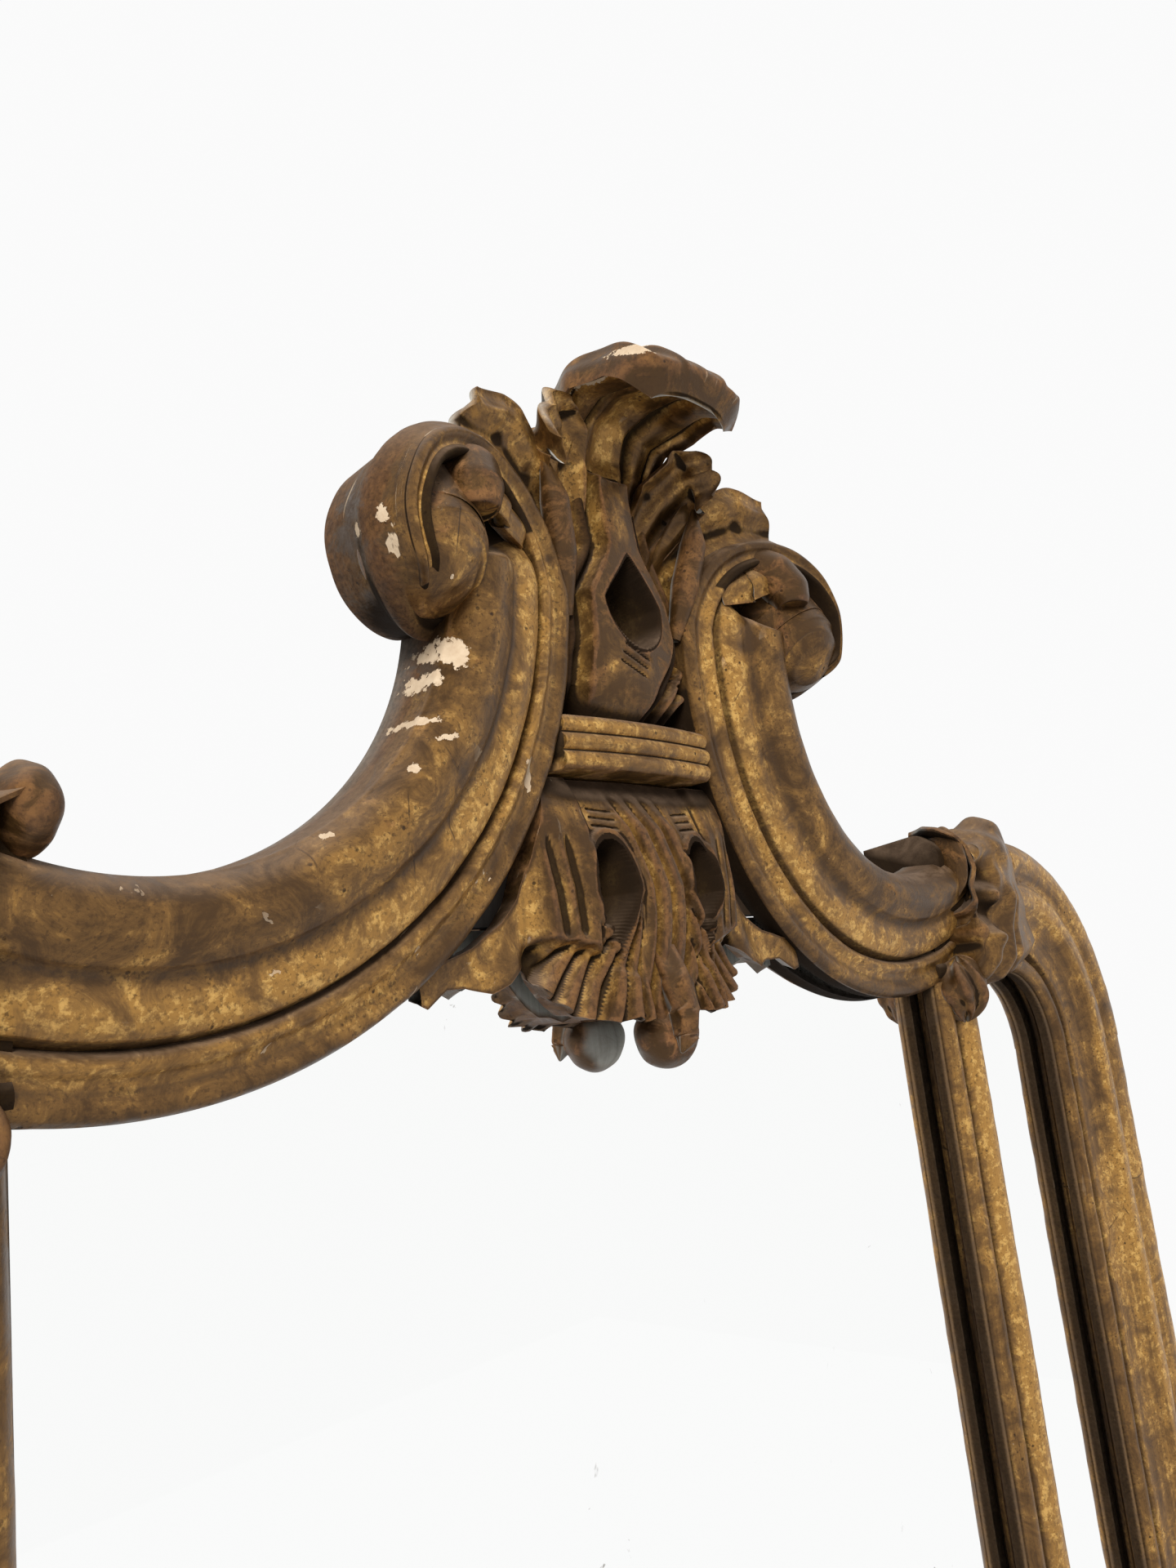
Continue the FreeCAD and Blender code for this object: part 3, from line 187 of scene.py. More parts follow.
def piece(name, grid, wrap=(False, False), caps=False, start=0.0, **given):
    """Make a mesh of a grid: quads between neighbours, and, with caps, a face on each open end. Its
    UV map counts metres along, from a start, and metres across."""
    rows, cols = grid.shape[:2]
    index = np.arange(rows * cols).reshape(rows, cols)
    ends = [index[0].tolist(), index[-1][::-1].tolist()] if caps else []
    index = np.pad(index, [(0, int(w)) for w in wrap], "wrap")
    quads = np.stack([index[:-1, :-1], index[1:, :-1], index[1:, 1:], index[:-1, 1:]], -1)
    mesh = bpy.data.meshes.new(name)
    mesh.from_pydata(hung(grid.reshape(-1, 3)).tolist(), [], quads.reshape(-1, 4).tolist() + ends)
    for fact, values in worn_facts(grid, wrap, **given).items():
        layer = mesh.attributes.new(fact, "FLOAT", "POINT")
        layer.data.foreach_set("value", np.ascontiguousarray(values, np.float32).ravel())
    uv = np.stack(np.meshgrid(travelled(grid, 0) + start, travelled(grid, 1), indexing="ij"), -1)
    corner = np.zeros(len(mesh.loops), np.int32)
    mesh.loops.foreach_get("vertex_index", corner)
    layer = mesh.uv_layers.new(name="along_across")
    layer.data.foreach_set("uv", uv.reshape(-1, 2)[corner].astype(np.float32).ravel())
    mesh.polygons.foreach_set("use_smooth", np.ones(len(mesh.polygons), bool))
    shell = bmesh.new()
    shell.from_mesh(mesh)
    bmesh.ops.recalc_face_normals(shell, faces=shell.faces)
    shell.to_mesh(mesh)
    shell.free()
    mesh.set_sharp_from_angle(angle=SHARP)
    thing = bpy.data.objects.new(name, mesh)
    bpy.context.scene.collection.objects.link(thing)
    return thing


# %% From mesh to a dressed piece
def dress(thing, finish, slot, *replaced):
    """Give a piece its finish, let it ride on the frame and stand for its CAD nodes."""
    thing.data.materials.clear()
    thing.data.materials.append(finish)
    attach(thing, "frame")
    if replaced:
        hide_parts(*replaced)
    print(thing.name, len(thing.data.vertices), "points")
    return thing


def carved(name, grid, finish, node, **given):
    """A gilded piece in place of a CAD node: sections closed round, with a cap on each end."""
    return dress(piece(name, grid, (False, True), True, **given), finish, "gilt_wood", node)


# %% [markdown]
# The finish is old water gilding: gold leaf on clay (bole) over white gesso. A photograph of gold
# could be wrapped on, but it would stretch and repeat, so a node group mixes what age has done,
# with some painted light. Leaf tone drifts slowly, bright flecks of leaf double as painted glints,
# streaks follow the moulding, bole shows where hands and dusters rubbed, dark wax and painted shade
# sit in the cuts and hollows, dust lies on what faces up, gesso shows where flakes fell off, and
# what faces the wall was never gilded. The group gives colour, roughness, metal, specular and
# height; each material has its own Principled node.

# %% Node helpers
def join(node, inputs):
    """Give a node's inputs their values, or join sockets to them."""
    for key, value in inputs.items():
        if isinstance(value, bpy.types.NodeSocket):
            node.id_data.links.new(value, node.inputs[key])
        else:
            node.inputs[key].default_value = value


def nodes_of(tree):
    """A short way to add a node to a tree, with its settings and inputs."""
    def add(kind, inputs=None, **settings):
        node = tree.nodes.new(kind)
        for key, value in settings.items():
            setattr(node, key, value)
        join(node, inputs or {})
        return node
    return add


def new_group(name, inputs, outputs):
    """A shader node group with named sockets: (name, kind, default)."""
    tree = bpy.data.node_groups.new(name, "ShaderNodeTree")
    for label, kind, value in inputs:
        socket = tree.interface.new_socket(label, in_out="INPUT", socket_type=kind)
        if value is not None:
            socket.default_value = value
    for label, kind in outputs:
        tree.interface.new_socket(label, in_out="OUTPUT", socket_type=kind)
    add = nodes_of(tree)
    return tree, add, add("NodeGroupInput").outputs, add("NodeGroupOutput")


# %% Values and colours in nodes
def maths(add, kind, *values):
    """One Math node on sockets or numbers."""
    return add("ShaderNodeMath", dict(enumerate(values)), operation=kind).outputs[0]


def span(add, value, low, high, to_low=0.0, to_high=1.0):
    """Carry a value from one range to another, with a smooth start and end."""
    inputs = {"Value": value, "From Min": low, "From Max": high, "To Min": to_low, "To Max": to_high}
    return add("ShaderNodeMapRange", inputs, interpolation_type="SMOOTHSTEP").outputs[0]


def noise(add, where, scale, detail=3.0, rough=0.55, twist=0.0):
    """One noise texture: how many swells to a metre, how fine, how rough and how far bent."""
    inputs = {"Vector": where, "Scale": scale, "Detail": detail, "Roughness": rough, "Distortion": twist}
    return add("ShaderNodeTexNoise", inputs).outputs["Fac"]


def stretched(add, where, scale):
    """A place with its three ways scaled apart, so that a texture runs along one of them."""
    return add("ShaderNodeMapping", {"Vector": where, "Scale": scale}).outputs[0]


def mixed(add, share, first, second):
    """Mix two colours by a share."""
    return add("ShaderNodeMix", {0: share, 6: first, 7: second}, data_type="RGBA").outputs[2]


def paint(red, green, blue):
    """A colour as it is seen on a screen, 0 to 255, to linear light."""
    values = np.array([red, green, blue]) / 255
    linear = np.where(values <= 0.04045, values / 12.92, ((values + 0.055) / 1.055) ** 2.4)
    return (*linear.tolist(), 1.0)


print("mid grey in linear light:", round(paint(128, 128, 128)[0], 3))

# %% Old gilding
VECTOR, FLOAT, COLOUR = "NodeSocketVector", "NodeSocketFloat", "NodeSocketColor"
LEAF_DARK, LEAF_MID = paint(72, 50, 26), paint(116, 84, 45)
# The brightest leaf colour is fresher leaf in flecks that also stands in as painted glints.
LEAF_WARM, LEAF_BRIGHT_GLINT = paint(162, 120, 60), paint(218, 174, 100)
BOLE_DARK, BOLE_LIGHT = paint(80, 52, 32), paint(122, 84, 50)
# The wax colour is also the painted shade in cuts and hollows.
DIRT, CRACK, PIT, WAX_AND_SHADE = paint(54, 36, 22), paint(40, 26, 17), paint(38, 25, 15), paint(30, 22, 15)
GROUND_SHADE = paint(30, 24, 18)
DUST_DARK, DUST_LIGHT = paint(70, 56, 46), paint(128, 106, 86)
GESSO_DARK, GESSO_LIGHT = paint(158, 132, 104), paint(200, 182, 156)


def make_old_gilding():
    """Colour = leaf tone with bright flecks that double as painted glints, and then bole, dirt, cracks,
    pits, bare ground, wax with painted shade in cuts and hollows, dust and gesso, each laid over what
    lies below it by its own mask."""
    tree, add, given, result = new_group(
        "old_gilding",
        [("Place", VECTOR, None), ("Along", VECTOR, None), ("Crevice", FLOAT, 0.0), ("Ridge", FLOAT, 0.0),
         ("Shelter", FLOAT, 0.4), ("Dust", FLOAT, 0.0), ("Flaked", FLOAT, 0.0), ("Rear", FLOAT, 0.0),
         ("Backing", COLOUR, None), ("Streaks", FLOAT, 0.2), ("Rubbed", FLOAT, 0.5),
         ("Chipped", FLOAT, 0.3), ("Dusty", FLOAT, 0.5)],
        [("Color", COLOUR), ("Roughness", FLOAT), ("Metallic", FLOAT), ("Specular", FLOAT),
         ("Height", FLOAT)],
    )

    def times(first, second):
        return maths(add, "MULTIPLY", first, second)

    def plus(first, second):
        return maths(add, "ADD", first, second)

    def minus(first, second):
        return maths(add, "SUBTRACT", first, second)

    # The noises that all layers share, from slow drifts to fine grain.
    place, along, shelter = given["Place"], given["Along"], given["Shelter"]
    broad = noise(add, place, 13, 4, 0.62, 0.5)
    patch = noise(add, place, 60, 7, 0.72, 0.8)
    fine = noise(add, place, 640, 3, 0.65)
    speck = noise(add, place, 230, 4, 0.7)
    streak = noise(add, stretched(add, along, (6, 170, 1)), 1.0, 5, 0.66)

    # Leaf: a sum of drifts, streaks and patches, brighter where it is sheltered.
    rest = minus(0.75, given["Streaks"])
    tone = plus(times(broad, 0.25), plus(times(streak, given["Streaks"]), times(patch, rest)))
    tone = plus(span(add, tone, 0.2, 0.8, 0.29, 0.71), span(add, shelter, 0.0, 1.0, -0.1, 0.11))
    leaf = mixed(add, span(add, tone, 0.37, 0.52), LEAF_DARK, LEAF_MID)
    leaf = mixed(add, span(add, tone, 0.47, 0.61), leaf, LEAF_WARM)
    # Bright flecks of leaf, which also stand in as painted glints.
    bright_and_glint = times(span(add, speck, 0.5, 0.6), span(add, tone, 0.47, 0.6))
    colour = mixed(add, times(bright_and_glint, 0.65), leaf, LEAF_BRIGHT_GLINT)

    # Bole: rubbed through on ridges and in patches.
    worn = plus(times(given["Ridge"], 0.22), span(add, shelter, 0.0, 0.6, 0.05, -0.08))
    bole = times(span(add, plus(patch, worn), 0.55, 0.7), given["Rubbed"])
    clay = mixed(add, span(add, speck, 0.35, 0.65), BOLE_DARK, BOLE_LIGHT)
    colour = mixed(add, bole, colour, clay)

    # Dirt in grains, cracks between cells and pits at the cells' middles.
    dirt = times(span(add, fine, 0.52, 0.66), span(add, patch, 0.35, 0.6, 0.15, 0.6))
    colour = mixed(add, dirt, colour, DIRT)
    cell = add("ShaderNodeTexVoronoi", {"Vector": stretched(add, place, (1, 1, 0.55)), "Scale": 30.0},
               feature="DISTANCE_TO_EDGE").outputs["Distance"]
    crack = times(span(add, cell, 0.002, 0.009, 1, 0), span(add, broad, 0.62, 0.67))
    colour = mixed(add, times(crack, 0.6), colour, CRACK)
    pits = add("ShaderNodeTexVoronoi", {"Vector": place, "Scale": 210.0}).outputs["Distance"]
    pit = times(span(add, pits, 0.1, 0.2, 1, 0), span(add, patch, 0.5, 0.62))
    colour = mixed(add, times(pit, 0.85), colour, PIT)

    # Bare ground on what faces the wall, and dark wax with painted shade in the cuts and hollows.
    bare = times(given["Rear"], span(add, patch, 0.3, 0.55, 0.7, 1.0))
    shaded = mixed(add, 0.45, given["Backing"], GROUND_SHADE)
    ground = mixed(add, span(add, streak, 0.3, 0.65), shaded, given["Backing"])
    colour = mixed(add, bare, colour, ground)
    uneven_cut = plus(given["Crevice"], plus(times(fine, 0.2), times(patch, 0.3)))
    grime_and_shade = span(add, uneven_cut, 0.36, 0.95)
    colour = mixed(add, times(grime_and_shade, 0.97), colour, WAX_AND_SHADE)

    # Dust on what faces up, and gesso where flakes fell: strewn ones and the listed spots.
    fallen = times(times(given["Dust"], span(add, patch, 0.3, 0.6, 0.45, 1.0)), given["Dusty"])
    colour = mixed(add, fallen, colour, mixed(add, speck, DUST_DARK, DUST_LIGHT))
    flakes = noise(add, stretched(add, along, (55, 130, 1)), 1.0, 4, 0.6, 0.6)
    flakes = plus(flakes, times(given["Ridge"], 0.05))
    chip = times(span(add, flakes, 0.66, 0.675), span(add, noise(add, place, 9, 2, 0.5), 0.54, 0.62))
    ragged = plus(given["Flaked"], times(plus(noise(add, place, 240, 6, 0.7), -0.5), 2.4))
    chip = maths(add, "MAXIMUM", times(chip, given["Chipped"]), span(add, ragged, 0.56, 0.6))
    colour = mixed(add, chip, colour, mixed(add, speck, GESSO_DARK, GESSO_LIGHT))

    # What is not leaf is dull; pits, cracks and chips are low.
    dull = plus(plus(fallen, plus(grime_and_shade, bare)), plus(chip, times(bole, 0.7)))
    dull = maths(add, "MINIMUM", dull, 1.0)
    height = plus(times(patch, 0.6), plus(times(streak, 0.12), times(fine, 0.2)))
    height = minus(height, plus(times(pit, 0.5), times(crack, 0.5)))
    join(result, {
        "Color": colour,
        "Roughness": span(add, plus(patch, times(dull, 0.5)), 0.25, 1.1, 0.3, 0.82),
        "Metallic": span(add, dull, 0.0, 0.9, 0.62, 0.0),
        "Specular": span(add, grime_and_shade, 0.2, 1.0, 0.5, 0.06),
        "Height": minus(height, times(chip, 1.1)),
    })
    return tree


old_gilding = make_old_gilding()
print("gilding:", len(old_gilding.nodes), "nodes")

# %% [markdown]
# Each kind of piece wears in its own way: the long mouldings keep their streaks and have wooden
# backs, the carving gathers dust, the volutes lost flakes of gesso, and the snails and the bead
# are rubbed to the bole. One material for each uses the same group with other amounts, which is
# easier to keep in tune than four separate finishes.

# %% Gilded finishes
def new_material(name):
    """A material with one Principled node on its output."""
    material = bpy.data.materials.new(name)
    material.use_nodes = True
    material.node_tree.nodes.clear()
    add = nodes_of(material.node_tree)
    skin = add("ShaderNodeBsdfPrincipled")
    add("ShaderNodeOutputMaterial", {"Surface": skin.outputs[0]})
    return material, add, skin


def bumped(add, height, strength, distance):
    """A normal that follows a height in metres."""
    inputs = {"Height": height, "Strength": strength, "Distance": distance}
    return add("ShaderNodeBump", inputs).outputs[0]


def gilded(name, rubbed, chipped, dusty, streaks=0.16, backing=(168, 166, 158)):
    """Gilding on one kind of piece: the group with its own amounts of wear, flakes and dust."""
    material, add, skin = new_material(name)
    inputs = {"Rubbed": rubbed, "Chipped": chipped, "Dusty": dusty, "Streaks": streaks,
              "Backing": paint(*backing)}
    inputs["Place"] = add("ShaderNodeTexCoord").outputs["Object"]
    inputs["Along"] = add("ShaderNodeUVMap", uv_map="along_across").outputs[0]
    for fact in ("crevice", "ridge", "shelter", "dust", "flaked", "rear"):
        inputs[fact.capitalize()] = add("ShaderNodeAttribute", attribute_name=fact).outputs["Fac"]
    aged = add("ShaderNodeGroup", inputs, node_tree=old_gilding).outputs
    join(skin, {"Base Color": aged["Color"], "Roughness": aged["Roughness"], "Metallic": aged["Metallic"],
                "Specular IOR Level": aged["Specular"],
                "Normal": bumped(add, aged["Height"], 0.55, 0.0009)})
    return material


gilt_moulding = gilded("gilt_moulding", 0.7, 0.12, 0.75, 0.28, (126, 104, 80))
gilt_carving = gilded("gilt_carving", 0.6, 0.3, 0.85)
gilt_volute = gilded("gilt_volute", 0.8, 0.8, 0.85)
bare_bole = gilded("bare_bole", 1.0, 0.2, 0.9)
print("finishes:", [m.name for m in (gilt_moulding, gilt_carving, gilt_volute, bare_bole)])

# %% [markdown]
# Silvered plates: the eye sees the silver behind the glass, so each plate's mirror lies a little
# behind its CAD front. Clear glass over a mirror would show the same at several times the render
# time, so a copy of each plate has its front points moved back and is a mirror itself. Old silver
# is a touch grey and has small dark spots.

# %% Silvered plates
SILVER, SILVER_SPOT = (0.985, 0.99, 0.985, 1), (0.35, 0.33, 0.3, 1)
SILVER_Y = (SIGHT_FRONT + 11.4) * MM
PLATE_MIDDLE_Y = -0.021  # points in front of this belong to a plate's front


def make_silver():
    """Nearly white metal, darkened and dulled by spots that gather where a slow noise is high."""
    material, add, skin = new_material("old_silver")
    place = add("ShaderNodeTexCoord").outputs["Object"]
    spots = noise(add, place, 55, 4, 0.7, 0.5)
    gathered = span(add, noise(add, place, 5, 2), 0.5, 0.62)
    mask = maths(add, "MULTIPLY", span(add, spots, 0.68, 0.74), gathered)
    dull = maths(add, "ADD", mask, maths(add, "MULTIPLY", spots, 0.1))
    join(skin, {"Base Color": mixed(add, mask, SILVER, SILVER_SPOT), "Metallic": 1.0,
                "Roughness": span(add, dull, 0.0, 1.1, 0.015, 0.4)})
    return material


old_silver = make_silver()
for plate in ("main_plate", "left_margin_plate", "right_margin_plate", "foot_margin_plate"):
    source = nodes[plate].data
    points = np.zeros(len(source.vertices) * 3, np.float32)
    source.vertices.foreach_get("co", points)
    points = points.reshape(-1, 3)
    points[:, 1] = np.where(points[:, 1] < PLATE_MIDDLE_Y, SILVER_Y, points[:, 1])
    mesh = source.copy()
    mesh.name = plate.replace("plate", "silver")
    mesh.vertices.foreach_set("co", points.ravel())
    thing = bpy.data.objects.new(mesh.name, mesh)
    bpy.context.scene.collection.objects.link(thing)
    dress(thing, old_silver, "silvered_glass", plate)

# %% [markdown]
# A moulding is one section carried along a path. A curve with a bevel would do it too, but a grid
# keeps the count of points in hand and knows where it is across the section. The section's front
# is listed from the sight edge outwards: place across, rise in front of the sight edge, and the
# bow of the next stretch. Real gesso rounds every edge, so the line is softened after its
# stretches are bowed.

# %% Section lines
def softened(line, passes):
    """Each inner value becomes a quarter of its neighbours and a half of itself, a few times."""
    for _ in range(passes):
        line[1:-1] = (line[:-2] + 2 * line[1:-1] + line[2:]) / 4
    return line


def contour(rows, width, rise, count=110, soften=3):
    """Bowed stretches between the rows, evenly spaced points on them, then a few soft passes."""
    rows = np.array(rows, float) * (width, rise, 1)
    start, end = rows[:-1], rows[1:]
    way = end[:, :2] - start[:, :2]
    t = np.linspace(0, 1, 24, endpoint=False)[None, :, None]
    side = np.stack([-way[:, 1], way[:, 0]], -1)[:, None]
    line = start[:, None, :2] + way[:, None] * t + side * (4 * start[:, None, 2:] * t * (1 - t))
    line = np.concatenate([line.reshape(-1, 2), rows[-1:, :2]])
    far = np.concatenate([[0], np.cumsum(np.linalg.norm(np.diff(line, axis=0), axis=1))])
    even = np.linspace(0, far[-1], count)
    line = np.stack([np.interp(even, far, line[:, 0]), np.interp(even, far, line[:, 1])], -1)
    line = softened(line, soften)
    return np.stack([line[:, 0], -line[:, 1]], -1)


def run(first, last, count):
    """Points from one corner to the next along straight back edges."""
    return np.linspace(first, last, count, endpoint=False)[1:]


def closed_section(front, back):
    """Front line, then straight runs through the back corners to the start again."""
    corners = [front[-1], *[np.array(c, float) for c in back], front[0]]
    runs = [np.concatenate([run(a, b, 8), b[None]]) for a, b in zip(corners[:-1], corners[1:])]
    return np.concatenate([front, *runs])[:-1]


print("a flat line:", contour(((0, 0, 0), (1, 0, 0)), 10, 5, 5)[:, 0].round(2).tolist())

# %% Outer and inner sections
WALL, GLASS, BOARD = 30.5, 7.0, 12.0  # depths behind the sight edge
RABBET = 8  # the lip over a plate's edge
OUTER_ROWS = (
    (0.0, 0.0, 0.0), (0.01, 0.12, 0.3), (0.13, 0.14, 0.0), (0.16, -0.08, 0.0), (0.2, 0.22, -0.08),
    (0.46, 0.58, 0.0), (0.48, 0.7, 0.1), (0.64, 0.68, 0.0), (0.66, 0.6, 0.3), (1.0, 0.1, 0.0),
)
# The pairs a hair apart at 24 and 68 are the edges of the hanger's pocket.
OUTER_BACK = [(80.6, WALL), (68, WALL), (67.99, WALL), (24.01, WALL), (24, WALL), (RABBET, WALL),
              (RABBET, GLASS), (0, GLASS)]
INNER_ROWS = (
    (0.0, 0.0, 0.0), (0.02, 0.12, 0.28), (0.3, 0.3, 0.0), (0.36, 0.08, 0.0), (0.4, 0.4, 0.26),
    (0.94, 0.2, 0.0), (1.0, 0.0, 0.0),
)
INNER_BACK = [(40, GLASS), (32, GLASS), (32, BOARD), (RABBET, BOARD), (RABBET, GLASS), (0, GLASS)]
outer_front = contour(OUTER_ROWS, 84, 21)
outer_section = closed_section(outer_front, OUTER_BACK)
inner_front = contour(INNER_ROWS, 40, 12, 80)
inner_section = closed_section(inner_front, INNER_BACK)
n_outer, n_inner = len(outer_front), len(inner_front)
print("sections:", len(outer_section), "and", len(inner_section), "points")


# %% Paths
def carry(section, path, out):
    """Section points along a path: place on the path plus across times the way out, and depth."""
    grid = np.zeros((len(path), len(section), 3))
    grid[..., 0] = path[:, :1] + out[:, :1] * section[:, 0]
    grid[..., 1] = section[:, 1]
    grid[..., 2] = path[:, 1:] + out[:, 1:] * section[:, 0]
    return grid


def straight(x0, z0, x1, z1, out, pace=5.0):
    """Evenly spaced points from one place to another, all with the same way out."""
    count = max(3, int(math.hypot(x1 - x0, z1 - z0) / pace) + 1)
    path = np.stack([np.linspace(x0, x1, count), np.linspace(z0, z1, count)], -1)
    return path, np.tile(np.array(out, float), (count, 1))


def bend(x, z, radius, first, last, pace=3.0):
    """Part of a circle, with the way out along its radius; angles in degrees from +x."""
    count = max(6, int(abs(math.radians(last - first)) * (radius + 40) / pace))
    angle = np.radians(np.linspace(first, last, count))
    out = np.stack([np.cos(angle), np.sin(angle)], -1)
    return np.array([x, z]) + radius * out, out


def uneven(grid, front_count, seed, amount=0.35):
    """Let the front of a moulding waver by hand, along its own normals."""
    normal = facing(grid, (False, True))
    share = np.zeros(grid.shape[1])
    share[2:front_count - 2] = amount
    lift = waver(grid, 60, seed) * 0.6 + waver(grid, 14, seed + 1) * 0.4
    return grid + normal * (lift * share)[..., None]


print("a quarter bend:", len(bend(0, 0, 52, 90, 0)[0]), "places on its path")

# %% [markdown]
# Some of a moulding's wear and painted shade follows its section: gold stays on the roll and the
# cove, dirt and painted shade darken the fillets and cuts, and the thin walls at the glass lie in
# shade, so they are painted dark, and were hardly gilded. Such values are listed by their share
# across the front and carried along with the section.

# %% Tints across a section
def along_section(section, front_count, places, values, side):
    """A value for each point of a section: by its share across the front, one for sides and back."""
    across = section[:front_count, 0] / section[:front_count, 0].max()
    return np.concatenate([np.interp(across, places, values), np.full(len(section) - front_count, side)])


def with_sight_wall(section, front_count, dark, gold):
    """The tints of a frame: behind the front only the wall at the glass is dark, as painted shade that
    deepens towards the glass, and half bare.
    """
    behind = section[front_count:]
    sight = (behind[:, 0] < RABBET + 0.01) & (behind[:, 1] <= GLASS)
    rear = 0 * dark
    # Painted shade on the wall at the glass.
    dark[front_count:] = np.where(sight, 0.14 + 0.46 * step(0.0, 3.2, behind[:, 1]), 0.0)
    rear[front_count:] = 0.4 * sight
    return {"dark": dark, "gold": gold, "rear": rear}


# Dark across a frame's section: dirt and painted shade on the rounded edge over the glass and in the fillet.
# Gold: where the leaf stays bright.
OUTER_TINT = with_sight_wall(
    outer_section, n_outer,
    along_section(outer_section, n_outer, (0, 0.015, 0.13, 0.15, 0.19, 0.21), (0.6, 0, 0, 0.5, 0.5, 0), 0.0),
    along_section(outer_section, n_outer, (0, 0.12, 0.2, 0.44, 0.5, 0.62, 0.7, 0.85, 1),
                  (0.4, 0.45, 0.48, 0.55, 0.75, 0.7, 0.5, 0.72, 0.45), 0.3))
INNER_TINT = with_sight_wall(
    inner_section, n_inner,
    along_section(inner_section, n_inner, (0, 0.03, 0.28, 0.33, 0.38, 0.41),
                  (0.6, 0, 0, 0.55, 0.55, 0), 0.0),
    along_section(inner_section, n_inner, (0, 0.3, 0.38, 0.46, 0.6, 0.9, 1),
                  (0.42, 0.5, 0.48, 0.8, 0.95, 0.75, 0.45), 0.3))
print("tints of a frame:", list(OUTER_TINT))

# %% Frame mouldings
UPRIGHT_X, SHOULDER_Z, FOOT_Z = 402, -50, -1024
POCKET_X, POCKET_HALF, POCKET_DEEP = 46, 21.995, 7  # the hanger's pocket in an upright's back
POCKET_TOP, POCKET_FOOT = 56, -30
RAIL_END = 250.5  # the top rail's end ring, under the clasp


def pocketed(grid, section):
    """Push the back of an upright forward where its hanger is let in."""
    level = grid[..., 2]
    pocket = (np.abs(section[:, 0] - POCKET_X) < POCKET_HALF) & (section[:, 1] > WALL - 0.01)
    inside = (level < POCKET_TOP - CORNER_LINE) & (level > POCKET_FOOT - CORNER_LINE)
    grid[..., 1] = np.where(pocket & inside, WALL - POCKET_DEEP, grid[..., 1])
    return grid


def moulding(name, path, section, front_count, seed, start):
    """The right-hand piece and its left-hand twin, each with its own unevenness."""
    for side, turned in SIDES.items():
        grid = turned(uneven(carry(section, *path), front_count, seed + (7 if side == "left" else 0)))
        if name == "outer_upright":
            grid = pocketed(grid, section)
        tint = dict(INNER_TINT if section is inner_section else OUTER_TINT)
        if name == "top_rail":
            far = np.abs(grid[..., 0])
            # Painted shade on the rail's end and on the stretch of it inside the clasp.
            end = np.maximum(step(286, 274, far) * (grid[..., 1] < 9), 0.8 * (far < RAIL_END))
            tint["dark"] = np.maximum(tint["dark"], end)
        carved(f"{side}_{name}_gilt", grid, gilt_moulding, f"{side}_{name}", start=start, **tint)


moulding("top_rail", straight(250, 2, 350, 2, (0, 1)), outer_section, n_outer, 10, 0.0)
moulding("shoulder", bend(350, SHOULDER_Z, 52, 90, 0), outer_section, n_outer, 20, 0.1)
levels = straight(UPRIGHT_X, SHOULDER_Z, UPRIGHT_X, FOOT_Z, (1, 0))[0][:, 1]
pocket_edges = np.array([POCKET_TOP, 55.99, -29.99, POCKET_FOOT]) - CORNER_LINE
levels = np.sort(np.concatenate([levels, pocket_edges]))[::-1]
upright = np.stack([np.full(len(levels), float(UPRIGHT_X)), levels], -1)
upright_out = np.tile((1.0, 0.0), (len(levels), 1))
moulding("outer_upright", (upright, upright_out), outer_section, n_outer, 30, 0.25)
moulding("foot_corner", bend(350, FOOT_Z, 52, 0, -90), outer_section, n_outer, 40, 1.25)
moulding("inner_upright", straight(250, 2, 250, -894, (1, 0)), inner_section, n_inner, 50, 0.0)
moulding("inner_corner", bend(220, -894, 30, 0, -90), inner_section, n_inner, 60, 0.9)
grid = uneven(carry(outer_section, *straight(350, -1076, -350, -1076, (0, -1))), n_outer, 70)
carved("foot_rail_gilt", grid, gilt_moulding, "foot_rail", start=1.4, **OUTER_TINT)
grid = uneven(carry(inner_section, *straight(220, -924, -220, -924, (0, -1))), n_inner, 80)
carved("inner_foot_rail_gilt", grid, gilt_moulding, "inner_foot_rail", start=1.0, **INNER_TINT)

# %% [markdown]
# Each C-scroll is the same idea with a richer section: a rounded edge over the glass, a hollow, a
# bead, a deep cut, a broad flat, a cove and a big roll. The path is most of a quarter circle and
# then a spiral that shrinks round its eye. The volute could be sculpted as a piece of its own,
# but one grid gives the C and its volute without a seam.

# %% The scroll's section
SCROLL_ROWS = (
    (0.0, 0.0, 0.0), (0.02, 0.12, 0.2), (0.11, 0.14, -0.18), (0.2, 0.2, 0.3), (0.272, 0.2, 0.0),
    (0.296, -0.02, 0.0), (0.332, 0.3, 0.1), (0.54, 0.44, -0.14), (0.63, 0.66, 0.0), (0.65, 0.68, 0.3),
    (1.0, 0.3, 0.0),
)
scroll_front = contour(SCROLL_ROWS, 66, 20, 120, 2)
n_scroll = len(scroll_front)
scroll_section = closed_section(scroll_front, [(66, GLASS), (0, GLASS)])
SCROLL_GOLD = along_section(
    scroll_section, n_scroll, (0, 0.1, 0.2, 0.29, 0.33, 0.42, 0.52, 0.58, 0.66, 0.8, 1),
    (0.25, 0.35, 0.62, 0.4, 0.66, 0.7, 0.52, 0.3, 0.36, 0.33, 0.25), 0.25)
